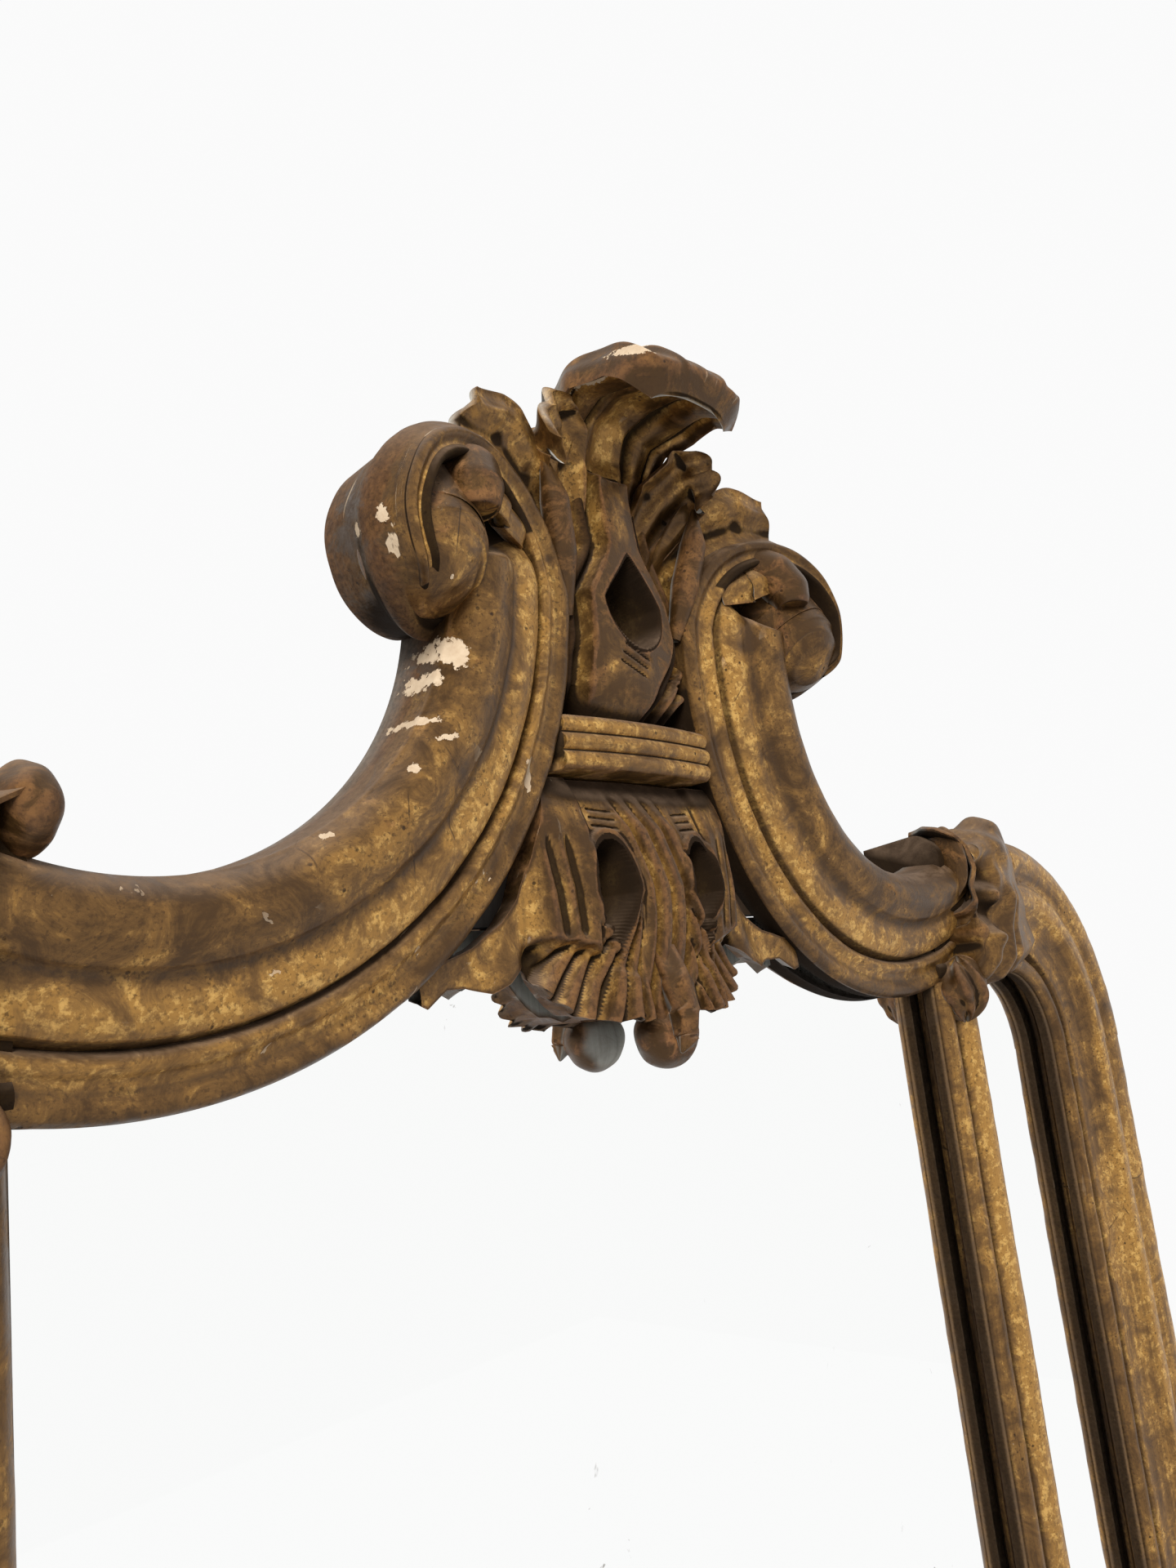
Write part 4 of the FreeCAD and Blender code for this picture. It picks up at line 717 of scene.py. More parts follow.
# Dark across the scroll: dirt and painted shade in the hollow by the bead, in the deep cut, in the cove
# under the roll, and on the sides and back.
SCROLL_DARK = along_section(
    scroll_section, n_scroll, (0, 0.1, 0.13, 0.16, 0.27, 0.29, 0.325, 0.34, 0.52, 0.59, 0.64, 0.7),
    (0.2, 0.15, 0.4, 0.1, 0, 0.5, 0.5, 0, 0, 0.36, 0.12, 0), 0.4)
print("scroll section:", len(scroll_section), "points")

# %% The scroll's surface
SCROLL_X, SCROLL_Z, SCROLL_R, REACH = 215.0, 175.0, 178.0, 70.0
VOLUTE_X = SCROLL_X - SCROLL_R + REACH
ARC_ROWS, SPIRAL_ROWS = 108, 150
TURNS = (0, 0.11, 0.22, 0.33, 0.5, 0.67, 0.83, 1.0, 1.25)
SHARES = (1, 0.88, 0.77, 0.67, 0.5, 0.39, 0.35, 0.33, 0.24)


def eased(at, places, values, passes=10):
    """Values between given places, with the corners of the straight runs softened away."""
    fine = np.linspace(places[0], places[-1], 240)
    return np.interp(at, fine, softened(np.interp(fine, places, values), passes))


def scroll_grid():
    """Arc: the section at its radius from the C's axis. Spiral: its reach from the eye times a
    share that falls as it turns; the rim comes forward and what is inside it sinks to a hollow."""
    across, depth = scroll_section[:, 0], scroll_section[:, 1]
    angle = np.radians(np.linspace(297, 180, ARC_ROWS, endpoint=False))[:, None]
    radius = SCROLL_R - across
    arc = np.stack([SCROLL_X + radius * np.cos(angle), np.broadcast_to(depth, (ARC_ROWS, len(depth))),
                    SCROLL_Z + radius * np.sin(angle)], -1)
    turn = np.linspace(0, TURNS[-1], SPIRAL_ROWS)[:, None]
    angle = np.radians(180 - turn * 270)
    sunk = step(17, 23, across) * step(0.02, 0.14, turn)
    rim_rise = 22 * step(0, 0.55, turn) * step(1.0, 0.72, turn)
    forward = depth * (1 - sunk) + 3 * sunk - rim_rise * (1 - sunk)
    forward = np.where(depth < GLASS - 0.01, forward, depth)
    wall = (across < 0.01) & (depth < GLASS) & (np.arange(len(across)) > n_scroll)
    forward = np.where(wall, GLASS + (forward[:, :1] - GLASS) * (GLASS - depth) / GLASS, forward)
    swell = 5 * np.sin(math.pi * np.clip((GLASS - depth) / GLASS, 0, 1))
    out = (REACH - across) * eased(turn, TURNS, SHARES, 30)
    out = out + np.where(wall, swell, 0) * step(0.02, 0.3, turn)
    spiral = np.stack([VOLUTE_X + out * np.cos(angle), forward, SCROLL_Z + out * np.sin(angle)], -1)
    return np.concatenate([arc, spiral])


print("scroll grid:", scroll_grid().shape)


# %% Balls and tubes
def ball_grid(centre, radii, rows=40, cols=56):
    """A ball that is not quite round: latitude and longitude, with a slow swell."""
    lat = np.linspace(-1.55, 1.55, rows)[:, None]
    lon = np.linspace(0, 2 * math.pi, cols, endpoint=False)[None]
    unit = np.stack([np.cos(lat) * np.cos(lon), np.cos(lat) * np.sin(lon), np.sin(lat) + 0 * lon], -1)
    return np.array(centre) + unit * radii * (1 + 0.03 * waver(unit * 20, 16, 5))[..., None]


def line_through(points, steps, passes):
    """A smooth line through a few points: each measure eased on its own. Gives the shares along it
    too, of the steps and of the points."""
    at, knots = np.linspace(0, 1, steps), np.linspace(0, 1, len(points))
    points = np.array(points, float)
    line = np.stack([eased(at, knots, points[:, k], passes) for k in range(3)], -1)
    way = np.gradient(line, axis=0)
    way /= np.linalg.norm(way, axis=1)[:, None]
    return at, knots, line, way


def tube_grid(points, radii, cols=36, steps=60, ribs=0.0):
    """Rings of a changing radius along a smooth line through a few points."""
    at, knots, line, way = line_through(points, steps, 20)
    side = np.cross(way, (0.2, 0.1, 1.0))
    side /= np.linalg.norm(side, axis=1)[:, None]
    other = np.cross(way, side)
    angle = np.linspace(0, 2 * math.pi, cols, endpoint=False)
    radius = eased(at, knots, radii, 6)[:, None] * (1 + ribs * np.cos(5 * angle))
    ring = side[:, None] * np.cos(angle)[:, None] + other[:, None] * np.sin(angle)[:, None]
    return line[:, None] + ring * radius[..., None]


print("a ball:", ball_grid((0, 0, 0), (1, 1, 1)).shape, "grid")

# %% [markdown]
# A snail shell fills each volute, with a curled finger beside it and a tongue below. They are
# tubes whose radius swells and shrinks along a line. Where the old gesso lies bare is marked by a
# few oval spots (place across, level, half width, half height) rather than left to the noise,
# because a flake falls where a knock hit the edge.

# %% C-scrolls
SNAIL = ((97, 4, 200), (101, -1, 202), (107, -8, 198), (112, -14, 187), (115, -21, 175), (115, -27, 168),
         (115, -31, 164), (114.5, -34, 161), (114, -36, 159))
SNAIL_RADII = (12, 18, 22, 24, 23.5, 21.5, 17.5, 11, 1.5)
FINGER = ((76, 2, 206), (82, -8, 212), (90, -20, 212), (97, -29, 205), (100, -34, 196), (101, -36, 189),
          (101, -36, 188))
FINGER_RADII = (6, 8, 10.5, 11.5, 11, 8.5, 1)
TONGUE = ((52, 2, 150), (50, -5, 168), (49, -9, 180), (49, -10, 187), (49, -10, 188))
TONGUE_RADII = (7, 7.5, 7, 4.5, 0.5)
SCROLL_SPOTS = ((-106, 139, 4, 8), (-113, 132, 3, 6), (-119, 114, 5, 2), (-115, 107, 5, 1.5),
                (-139, 180, 1.2, 4), (-138, 163, 1.2, 3), (-131, 150, 1.6, 2), (-196, 66, 7, 1.2),
                (-160, 74, 3, 1.2), (-128, 96, 2, 2))
SNAIL_SPOTS = ((-117, 160, 1, 1), (-136, 160, 2, 4))
WALL_ROW, HOLLOW_ROW, EYE_ROW = 100, 118, 205  # the dark wall ends; the hollow and the eye begin


def flaked_off(grid, spots):
    """Where gesso lies bare: the nearest of a few ovals, 1 in its middle and 0 at 1.4 of its size."""
    x, z = grid[..., 0:1], grid[..., 2:3]
    sx, sz, wide, high = np.array(spots, float).T
    far = np.hypot((x - sx) / wide, (z - sz) / high).min(-1)
    return step(1.4, 0.3, far) * (grid[..., 1] < 2)


across, on_front = scroll_section[:, 0], np.arange(len(scroll_section)) < n_scroll
row = np.arange(ARC_ROWS + SPIRAL_ROWS)[:, None]
# Painted shade: nearly black in the volute's hollow and eye, and dark on the wall over the glass along the
# C.
in_hollow = (row > EYE_ROW) & on_front | (row > HOLLOW_ROW) & (across > 12)
scroll_dark = np.where(in_hollow, 0.95, SCROLL_DARK)
scroll_dark = np.where((row < WALL_ROW) & ~on_front & (across < 1), 0.75, scroll_dark)
for seed, (side, turned) in zip((90, 97), SIDES.items()):
    node = f"{side}_scroll"
    grid = laid_on(leaning(uneven(scroll_grid(), n_scroll, seed, 0.3)), GLASS)
    grid[:, scroll_section[:, 1] >= GLASS - 0.01, 1] = GLASS
    grid = turned(grid)
    carved(f"{side}_scroll_gilt", grid, gilt_volute, node, dark=scroll_dark, gold=SCROLL_GOLD,
           bare=flaked_off(grid, SCROLL_SPOTS))
    snail = turned(laid_on(tube_grid(SNAIL, SNAIL_RADII, 90, 160), GLASS))
    carved(f"{side}_volute_snail", snail, bare_bole, node, bare=flaked_off(snail, SNAIL_SPOTS))
    finger = turned(tube_grid(FINGER, FINGER_RADII, 60, 90))
    carved(f"{side}_volute_finger", finger, gilt_volute, node)
    tongue = turned(tube_grid(TONGUE, TONGUE_RADII, 40, 60))
    carved(f"{side}_volute_tongue", tongue, gilt_volute, node)

# %% [markdown]
# Leaves are carved from thick blades. A blade is a spine, a width that swells into lobes and a
# lift that cuts flutes, eyes and gouges into its face; its back follows at the wood's thickness.
# Sculpting by hand would give livelier leaves, but formulas can be changed one fold at a time.

# %% Cuts and blades
def hollow(x, z, cx, cz, half, high):
    """A teardrop: 1 inside, 0 outside, round at its head and pointed at its foot."""
    down = (z - cz) / high
    taper = np.where(down < 0, 1 + down * 0.75, 1.0)
    wide = half * np.sqrt(np.clip(1 - np.clip(down, -1, 1) ** 2, 0, 1)) * taper
    return step(1.15, 0.85, np.abs(x - cx) / np.maximum(wide, 0.01)) * (np.abs(down) < 1)


def nicks(x, z, cx, cz, slant, count=3, gap=3.6, half=7.0):
    """A carver's short parallel cuts, side by side."""
    along = (x - cx) * math.cos(slant) + (z - cz) * math.sin(slant)
    beside = -(x - cx) * math.sin(slant) + (z - cz) * math.cos(slant)
    row = np.clip(np.round(beside / gap), -(count // 2), count // 2)
    return np.exp(-((beside - row * gap) / 0.75) ** 2) * step(half, half - 3, np.abs(along))


def blade(spine, side, normal, front, thick):
    """Closed sections along a spine: the carved face, then the back at the wood's thickness."""
    across, lift = front
    face = spine[:, None] + side[:, None] * across[..., None] + normal[:, None] * lift[..., None]
    behind = face - normal[:, None] * thick[..., None]
    return np.concatenate([face, behind[:, ::-1]], 1)


print("in and beside a teardrop:", hollow(np.array([0.0, 9.0]), 0.0, 0, 0, 5, 9).tolist())

# %% Upper leaf
UPPER_EYE_Z = 177
HOOD_SPOTS = ((-30, 263, 7, 4), (-14, 275, 4, 2), (6, 268, 2, 2))


def upper_leaf_grid(steps=260, cols=190):
    """Spine: up the crest, then forward in a hood. Lift: a raised strip that parts round an eye and
    runs out in bands below it, flutes in the hood, and side edges that curl forward."""
    at = np.linspace(0, 1, steps)
    knots = (0, 0.08, 0.2, 0.34, 0.46, 0.56, 0.65, 0.73, 0.81, 0.89, 0.95, 1.0)
    y = eased(at, knots, (-6, -15, -15, -13, -11, -10, -11, -17, -32, -50, -61, -65), 14)
    z = eased(at, knots, (126, 138, 160, 192, 216, 232, 247, 258, 263, 261, 254, 248), 14)
    wide = eased(at, knots, (30, 38, 44, 40, 33, 31, 33, 37, 40, 39, 35, 24), 8)
    way = np.stack([np.gradient(y), np.gradient(z)], -1)
    way /= np.linalg.norm(way, axis=1)[:, None]
    spine = np.stack([0 * at, y, z], -1)
    normal = np.stack([0 * at, -way[:, 1], way[:, 0]], -1)
    t = np.linspace(-1, 1, cols)
    a = at[:, None]
    x = wide[:, None] * t * (1 + 0.04 * np.sin(a * 40 + 1) * step(0.45, 0.55, a))
    level = z[:, None] + 0 * x
    stem, hood = step(0.6, 0.52, a), step(0.5, 0.66, a)
    sway = x + 14 * step(166, 128, level) * stem
    band = eased(level, (126, 140, 152, 164, 180, 197, 203, 260), (12, 19, 24, 26, 24.5, 13, 10, 10), 4)
    out = np.abs(sway) - band
    strip = step(1.2, -1.2, out) * step(0.6, 0.57, a)
    eye = hollow(x, -level, 0, -UPPER_EYE_Z, 15.5, 20) * (a < 0.6)
    bands = np.cos(np.clip(out, 0, 60) * 2 * math.pi / 11.5 + 2.6) * 3.4 * step(0, 2, out) * stem
    lift = 7 * strip + bands - 20 * eye - 8 * t ** 2 * stem
    lift = lift - 1.7 * nicks(x, level, -5, 151, -0.42, 3, 4.2, 9) * (a < 0.4)
    lift = lift - 1.7 * nicks(x, level, 34, 150, 0.1, 3, 3.6, 4) * (a < 0.4)
    away = np.abs(t)
    crease = np.exp(-((away - 0.5 + 0.12 * step(0.5, 0.8, a)) / 0.07) ** 2)
    crease = crease + 0.6 * np.exp(-((away - 0.82) / 0.05) ** 2)
    flutes = (2.4 * np.cos((away - 0.5) * math.pi * 2) - 5 * crease) * hood * step(1.0, 0.88, a)
    curl = 9 * away ** 3 * step(0.5, 0.75, a) * (1 - 0.4 * step(0.8, 1.0, a))
    lift = lift + flutes + curl
    thick = (13 - hood) * np.sqrt(np.clip(1.02 - t ** 8, 0.02, 1))
    thick = thick * np.sqrt(np.clip(1.01 - step(0.955, 1.0, a) ** 2, 0.02, 1))
    grid = blade(spine, np.tile((1.0, 0, 0), (steps, 1)), normal, (x, lift), thick)
    # Painted shade: near black in the eye's pit, darker in the hood's folds, at the leaf's foot and beside
    # the raised strip.
    pit = hollow(x, -level, 0, -UPPER_EYE_Z, 17.5, 22) * (a < 0.6)
    beside = step(0, 1.5, out) * step(14, 4, out) * stem
    folds = 0.8 * crease * hood * step(0.9, 0.8, a)
    dark = np.clip(1.4 * pit + folds + step(0.09, 0.0, a) + 0.75 * beside, 0, 1)
    return laid_on(grid, GLASS), np.concatenate([dark, 0 * dark], 1)


grid, dark = upper_leaf_grid()
bare = flaked_off(grid, HOOD_SPOTS) * (grid[..., 1] < -25)
carved("upper_leaf_carved", grid, gilt_carving, "upper_leaf", dark=dark, bare=bare)

# %% [markdown]
# The lobes beside the hood and the sprays behind the volutes are plain fans: a spine, half-widths
# along it, flutes on the face and a scalloped end. A thin spear of leaf stands beside each.

# %% Side leaves
LOBE_SPINE = ((19, 0, 196), (26, -4, 214), (34, -12, 230), (42, -24, 241), (49, -35, 244))
LOBE_WIDTHS = (8, 13, 16, 15, 11)
SIDE_SPINE = ((28, 0, 184), (42, -9, 201), (57, -17, 211), (76, -25, 217), (95, -33, 219))
SIDE_WIDTHS = (8, 17, 25, 28, 22)
SPEAR, SPEAR_RADII = ((35, -12, 168), (40, -18, 192), (45, -22, 212), (49, -22, 230)), (3, 6.5, 6, 1.2)


def fan_grid(spine_points, widths, scallops, curl, steps=110, cols=90):
    """A leaf seen from the front: its spine, its half-widths, its fluted face and scalloped end."""
    at, knots, spine, way = line_through(spine_points, steps, 14)
    side = np.cross(way, (0, -1.0, 0))
    side /= np.linalg.norm(side, axis=1)[:, None]
    normal = np.cross(side, way)
    normal *= np.sign(-normal[:, 1:2])
    t = np.linspace(-1, 1, cols)
    a = at[:, None]
    wide = eased(at, knots, widths, 5)[:, None]
    lobes = np.abs(np.sin(t * math.pi * scallops / 2 + 0.4))
    lift = 2.0 * np.cos(t * math.pi * scallops) * step(0.1, 0.4, a)
    lift = lift + curl * np.abs(t) ** 2 - 4 * step(0.8, 1.0, a)
    thick = 9 * np.sqrt(np.clip(1.02 - t ** 6, 0.02, 1)) * (1 - 0.5 * step(0.7, 1.0, a))
    grid = blade(spine, side, normal, (wide * t, lift), thick)
    reach = np.concatenate([lobes, lobes[::-1]]) * 4 - 5 * np.concatenate([t, t[::-1]]) ** 2
    return laid_on(grid + way[:, None] * (reach * step(0.6, 1.0, a))[..., None], GLASS)


for side, turned in SIDES.items():
    node = f"{side}_side_leaf"
    lobe = turned(fan_grid(LOBE_SPINE, LOBE_WIDTHS, 2, 5))
    carved(f"{side}_upper_lobe", lobe, gilt_carving, "upper_leaf", gold=0.4)
    fan = turned(fan_grid(SIDE_SPINE, SIDE_WIDTHS, 3, 6))
    carved(f"{side}_side_leaf_carved", fan, gilt_carving, node, gold=0.5)
    carved(f"{side}_spear_leaf", turned(tube_grid(SPEAR, SPEAR_RADII)), gilt_carving, node)

# %% [markdown]
# The lower leaf falls over the glass like a fan. It is a relief: a depth for every place in its
# outline, with two deep teardrop eyes, ribs that run down between them, flutes that spread from
# under each eye to a scalloped edge, and wings that pass under the scrolls. A relief needs only
# one number for each place, so every fold is a term that is added or taken away.

# %% Lower leaf
LEAF_POINT = ((1, -10, 30), (0, -16, 18), (-2, -21, 7), (-5, -23, -4), (-8, -22, -9))
POINT_RADII = (7, 7.5, 6, 4.5, 0.6)
EDGE_X = (0, 5, 10, 16, 22, 27, 33, 40, 46, 52, 56, 61, 64.5, 68, 76, 84, 94, 103, 113, 118)
EDGE_Z = (4, 6, 3.5, 6, 4, 6.5, 5, 7.5, 8, 12, 16, 22, 33, 30, 24, 21, 24, 24, 18, 20)
LEAF_BACK, EYE_X, EYE_Z = 6.8, 28, 55


def relief(front, back_y):
    """Close a carved front with an edge that turns in and a flat back."""
    low = front[-1]
    turn = np.stack([low + (0, 2.5, 1.2), low + (0, 6, 2.5)])
    back = front[::-6].copy()
    back[..., 1] = back_y
    back[..., 2] += 2.5 * step(0, 0.3, np.linspace(1, 0, len(back)))[:, None]
    return np.concatenate([front, laid_on(turn, back_y), back])


def lower_leaf_grid(rows=220, cols=340):
    """Depth over place and level: a body that swells and falls, ribs in its middle, side lobes that
    end in a step above the spreading fan, thin wings; then eyes and nicks are sunk into it."""
    x = np.linspace(-116, 116, cols)[None] * np.ones((rows, 1))
    flat = np.abs(x)
    foot = np.interp(flat, EDGE_X, EDGE_Z)
    head = eased(flat, (0, 53, 58, 62, 68, 76, 90, 104, 118), (103, 102, 84, 69, 55, 46, 38, 34, 31), 3)
    z = head + (foot - head) * np.linspace(0, 1, rows)[:, None]

    def eyes(half, high):
        return hollow(x, z, -EYE_X, EYE_Z, half, high) + hollow(x, z, EYE_X, EYE_Z, half, high)

    core = eased(z, (0, 12, 30, 57, 80, 94, 106), (15, 13, 15, 18, 15, 8, -2), 10)
    body = core * (1 - 0.72 * (flat / 64) ** 2)
    wing = 1.5 - 3.5 * step(70, 112, flat) + 2.2 * np.sin(flat / 6.5 + z / 8) * step(66, 84, flat)
    brink = eased(flat, (0, 14, 30, 38, 48, 60, 118), (20, 20, 26, 33, 36, 38, 38), 3)
    over = step(-2, 2.5, z - brink)
    lobe = 3.2 * step(35, 39, flat) * step(61, 57, flat) * over
    fan = step(14, 20, flat) * (1 - over) * step(66, 60, flat)
    depth = body * step(67, 60, flat) + wing * step(60, 67, flat) + lobe
    depth = depth - fan * (5 * step(30, 38, flat) - 6 * step(34, 6, z))
    sway = x - 6 * np.sin((z - 16) / 19) * step(4, 20, z)
    ribs = 2.2 - 6.5 * np.abs(np.cos(sway * math.pi / 9.5 + 0.6)) ** 5
    ribs = ribs * step(19, 15, np.abs(sway)) * step(99, 80, z)
    angle = np.arctan2(flat - 6, np.maximum(78 - z, 0.5))
    spread = step(13, 18, flat) * step(66, 60, flat) * (1 - over * step(32, 37, flat))
    flutes = (1.8 - 5.5 * np.abs(np.cos(angle * 27 + 0.4)) ** 4) * spread * step(56, 40, z)
    grooves = np.exp(-((flat - 46 - (z - 60) * 0.1) / 2.2) ** 2)
    grooves = grooves + np.exp(-((flat - 54 - (z - 60) * 0.12) / 2.0) ** 2)
    grooves = -2.8 * grooves * step(36, 42, z) * step(86, 70, z)
    eye, pit = eyes(10, 21), eyes(12, 23.5)
    rim = eyes(14.5, 26) - eye
    hole = np.exp(-((flat - 61) / 5) ** 2 - ((z - 31) / 6) ** 2)
    depth = depth + ribs + flutes + grooves - 20 * eye + 1.8 * np.clip(rim, 0, 1)
    depth = depth - 1.6 * (nicks(x, z, -26, 85, -0.1, 3, 3.6, 8) + nicks(x, z, 26, 85, 0.1, 3, 3.6, 8))
    depth = depth - 10 * hole
    # Painted shade: in the cuts, the eyes' pits and the holes, under the band, and a little over all the
    # leaf.
    cuts = step(-1.0, -3.6, ribs) + step(-1.2, -4.0, flutes) + step(-1.0, -2.4, grooves)
    shade_under_band = 0.8 * step(86, 99, z) * step(70, 40, flat)
    dark = np.clip(0.17 + 1.4 * pit + 0.9 * hole + 0.75 * cuts + shade_under_band, 0, 1)
    return relief(np.stack([x, np.minimum(-depth, 6.0), z], -1), LEAF_BACK), dark


grid, dark = lower_leaf_grid()
dark = np.pad(dark, [(0, len(grid) - len(dark)), (0, 0)])
leaf = piece("lower_leaf_carved", grid, (True, False), False, dark=dark)
dress(leaf, gilt_carving, "gilt_wood", "lower_leaf")
point = tube_grid(LEAF_POINT, POINT_RADII, 48, 60, 0.08)
carved("lower_leaf_point", point, gilt_carving, "lower_leaf")

# %% Band and bead
BAND_HALF, BAND_FOOT, BAND_HIGH = 46, 104, 22


def ribbon_grid(rows=90, cols=60):
    """Three reeds with a fine line in each valley, bowed forward between the scrolls."""
    along = np.linspace(-BAND_HALF, BAND_HALF, rows)[:, None]
    t = np.linspace(0, 1, cols)
    reeds = 2.6 * np.abs(np.sin(t * math.pi * 3)) ** 0.7
    y = -12.5 - 3.5 * (1 - (along / BAND_HALF) ** 2) - reeds + 2.0 * np.abs(t - 0.5)
    face = np.stack([along + 0 * t, y, BAND_FOOT + BAND_HIGH * t + 0 * along], -1)
    behind = face[:, ::-1].copy()
    behind[..., 1] = GLASS
    return np.concatenate([face, behind], 1)


carved("ribbon_band_carved", ribbon_grid(), gilt_moulding, "ribbon_band", gold=0.62)
bead = ball_grid((0, -8.5, -2), (13, 13, 13))
carved("pendant_bead_carved", bead, bare_bole, "pendant_bead")

# %% [markdown]
# The corner clasp is a leaf wrapped round the joint like a cuff. Its open mouth takes the end of
# the scroll; behind the mouth it folds into flutes, a hooked lobe with a deep hollow, and a knob,
# and it dies away as a leaf tip on the shoulder. It is a row of closed sections along the rail:
# the inner wall of the mouth first, then the lip, then the outer face. One sheet made this way
# has a true thickness at its mouth, which a relief could not give.

# %% The clasp's surface
CLASP_EDGE = np.array(((0.0, 0.0), (0.01, 0.35), (0.04, 0.72), (0.14, 0.94), (0.32, 0.9), (0.5, 1.0),
                       (0.68, 0.93), (0.84, 0.92), (0.95, 0.68), (1.0, 0.36), (0.98, 0.0)))
CLASP_MOUTH = np.array(((22.0, 17.0), (14.0, 12.0), (6.0, 6.5), (1.5, 4.6), (-1.6, 3.0), (-2.6, 1.2)))
CLASP_BACK = 6.95


def clasp_grid(rows=150, cols=170):
    """Sections by their foot, head and depth; then folds, hook, knob and tip along the normals."""
    t = np.linspace(0, 1, cols)
    places = np.linspace(0, 1, len(CLASP_EDGE))
    up, ahead = (eased(t, places, CLASP_EDGE[:, k], 16) for k in (0, 1))
    u = np.concatenate([np.zeros(len(CLASP_MOUTH)), np.linspace(0, 1, rows)])[:, None]
    shift = np.concatenate([CLASP_MOUTH[:, 0], np.zeros(rows)])[:, None]
    wall = np.concatenate([CLASP_MOUTH[:, 1], np.zeros(rows)])[:, None]
    deep = step(0.0, 0.6, ahead)
    knots = (0, 0.09, 0.2, 0.4, 0.6, 0.8, 1.0)
    foot = eased(u, knots, (36, 31, 4, -3, -1, 3, 12), 6) + wall
    head = eased(u, knots, (91, 84, 85, 92, 95, 85, 70), 6) - wall
    depth = eased(u, knots, (30, 24, 25, 29, 27, 22, 16), 6) - wall
    z = foot + (head - foot) * up
    lean = 0.22 * (z - 30) * step(0.1, 0.4, u) + 16 * step(86, 74, z) * step(0.3, 0, u)
    tip = 24 * step(44, 2, z) * step(0.62, 1.0, u) - 10 * step(50, 90, z) * step(0.7, 1.0, u)
    corner = (1 - deep) * step(0.16, 0.0, u) * (14 * step(70, 90, z) - 10 * step(80, 60, z))
    x = 250 + 105 * u + shift * (0.25 + 0.75 * deep) + lean + tip + corner
    y = 7 - (7 + depth) * ahead
    face = np.stack([x, np.minimum(y, 6.9), z], -1)
    outside = (wall == 0) * np.ones_like(z)
    flutes = 3.2 * np.sin((x - 0.3 * z) * 2 * math.pi / 21) * step(0.16, 0.28, u)
    flutes = flutes * step(0.8, 0.66, u) * step(60, 44, z)
    ridges = 2.2 * np.sin((x * 0.6 + z * 0.8) * 2 * math.pi / 24) * step(60, 72, z)
    ridges = ridges * step(0.1, 0.22, u) * step(0.72, 0.55, u)
    reach = np.hypot(x - 291, z - 49)
    left = step(304, 289, x) * step(0.02, 0.12, u)
    hook = 5 * np.exp(-((reach - 27) / 5) ** 2) * left - 13 * np.exp(-((reach - 12) / 7) ** 2) * left
    knob = 5.5 * np.exp(-((x - 318) ** 2 + (z - 88) ** 2) / 110)
    notch = -5 * np.exp(-((x - 352) / 5) ** 2 - ((z - 62) / 7) ** 2)
    lift = (flutes + ridges + hook + knob + notch) * outside * step(0, 0.12, t) * step(1, 0.88, t)
    normal = facing(face, (False, False))
    normal *= np.sign((normal * (face - (290, 0, 45))).sum())
    face = face + normal * lift[..., None]
    back = np.stack([face[:, -1], face[:, 0]], 1)
    back[..., 1] = CLASP_BACK
    grid = laid_on(np.concatenate([face, back], 1), CLASP_BACK)
    # Painted shade: dark on the inner wall of the mouth and in the hook's hollow.
    dark = step(0.8, 4.0, wall) + np.exp(-((reach - 11) / 8) ** 2) * left * outside
    return grid, np.pad(np.clip(dark, 0, 1), [(0, 0), (0, 2)], "edge")


print("clasp grid:", clasp_grid()[0].shape)

# %% Corner and foot clasps
KNOT, KNOT_RADII = (269, -7, -3), (15.5, 13.5, 17)
LIPS = {"left": ((250, -14, 79), (9, 14, 12.5)), "right": ((259, -15, 68), (4.5, 13, 21))}
FOOT_SPINE = ((262, -13, -936), (298, -6, -972), (336, -7, -1010), (374, -8, -1048), (408, -15, -1082))
FOOT_WIDTHS = (6, 13, 16, 13, 5)


def knot_grid():
    """A crumpled bulb where the inner upright's leaf is tied."""
    ball = ball_grid(KNOT, KNOT_RADII, 60, 90)
    way = ball - KNOT
    turn = np.arctan2(way[..., 1], way[..., 0])
    crumple = 1.5 * np.sin(turn * 7 + way[..., 2] * 0.16) + waver(ball, 12, 3) * 0.8
    return ball + way / 16 * crumple[..., None]


grid, dark = clasp_grid()
knot = laid_on(knot_grid(), CLASP_BACK)
for side, turned in SIDES.items():
    node = f"{side}_corner_clasp"
    carved(f"{side}_corner_clasp_carved", turned(grid), gilt_carving, node, dark=dark, gold=0.38)
    lip = laid_on(ball_grid(*LIPS[side]), CLASP_BACK)
    carved(f"{side}_clasp_lip", turned(lip), gilt_carving, node)
    carved(f"{side}_clasp_knot", turned(knot), gilt_carving, node)
for side, turned in SIDES.items():
    leaf = turned(fan_grid(FOOT_SPINE, FOOT_WIDTHS, 3, -2))
    carved(f"{side}_foot_clasp_carved", leaf, gilt_carving, f"{side}_foot_clasp")

# %% [markdown]
# What CAD already has right keeps its solid and gets a finish: the boards and blocks on the back
# are old softwood, the screws and hangers are iron. Grain is a noise stretched along the boards,
# and rust is a mask that takes the metal away. The crest board is painted nearly black on its
# front and edges, as the shade that lies between the leaves where it shows.

# %% Old softwood and iron
STAIN, RUST = paint(70, 52, 36), paint(96, 58, 36)
# The near-black painted shade on the crest board's front and edges.
CREST_SHADE_DARK, CREST_SHADE_LIGHT = paint(16, 12, 8), paint(32, 24, 16)


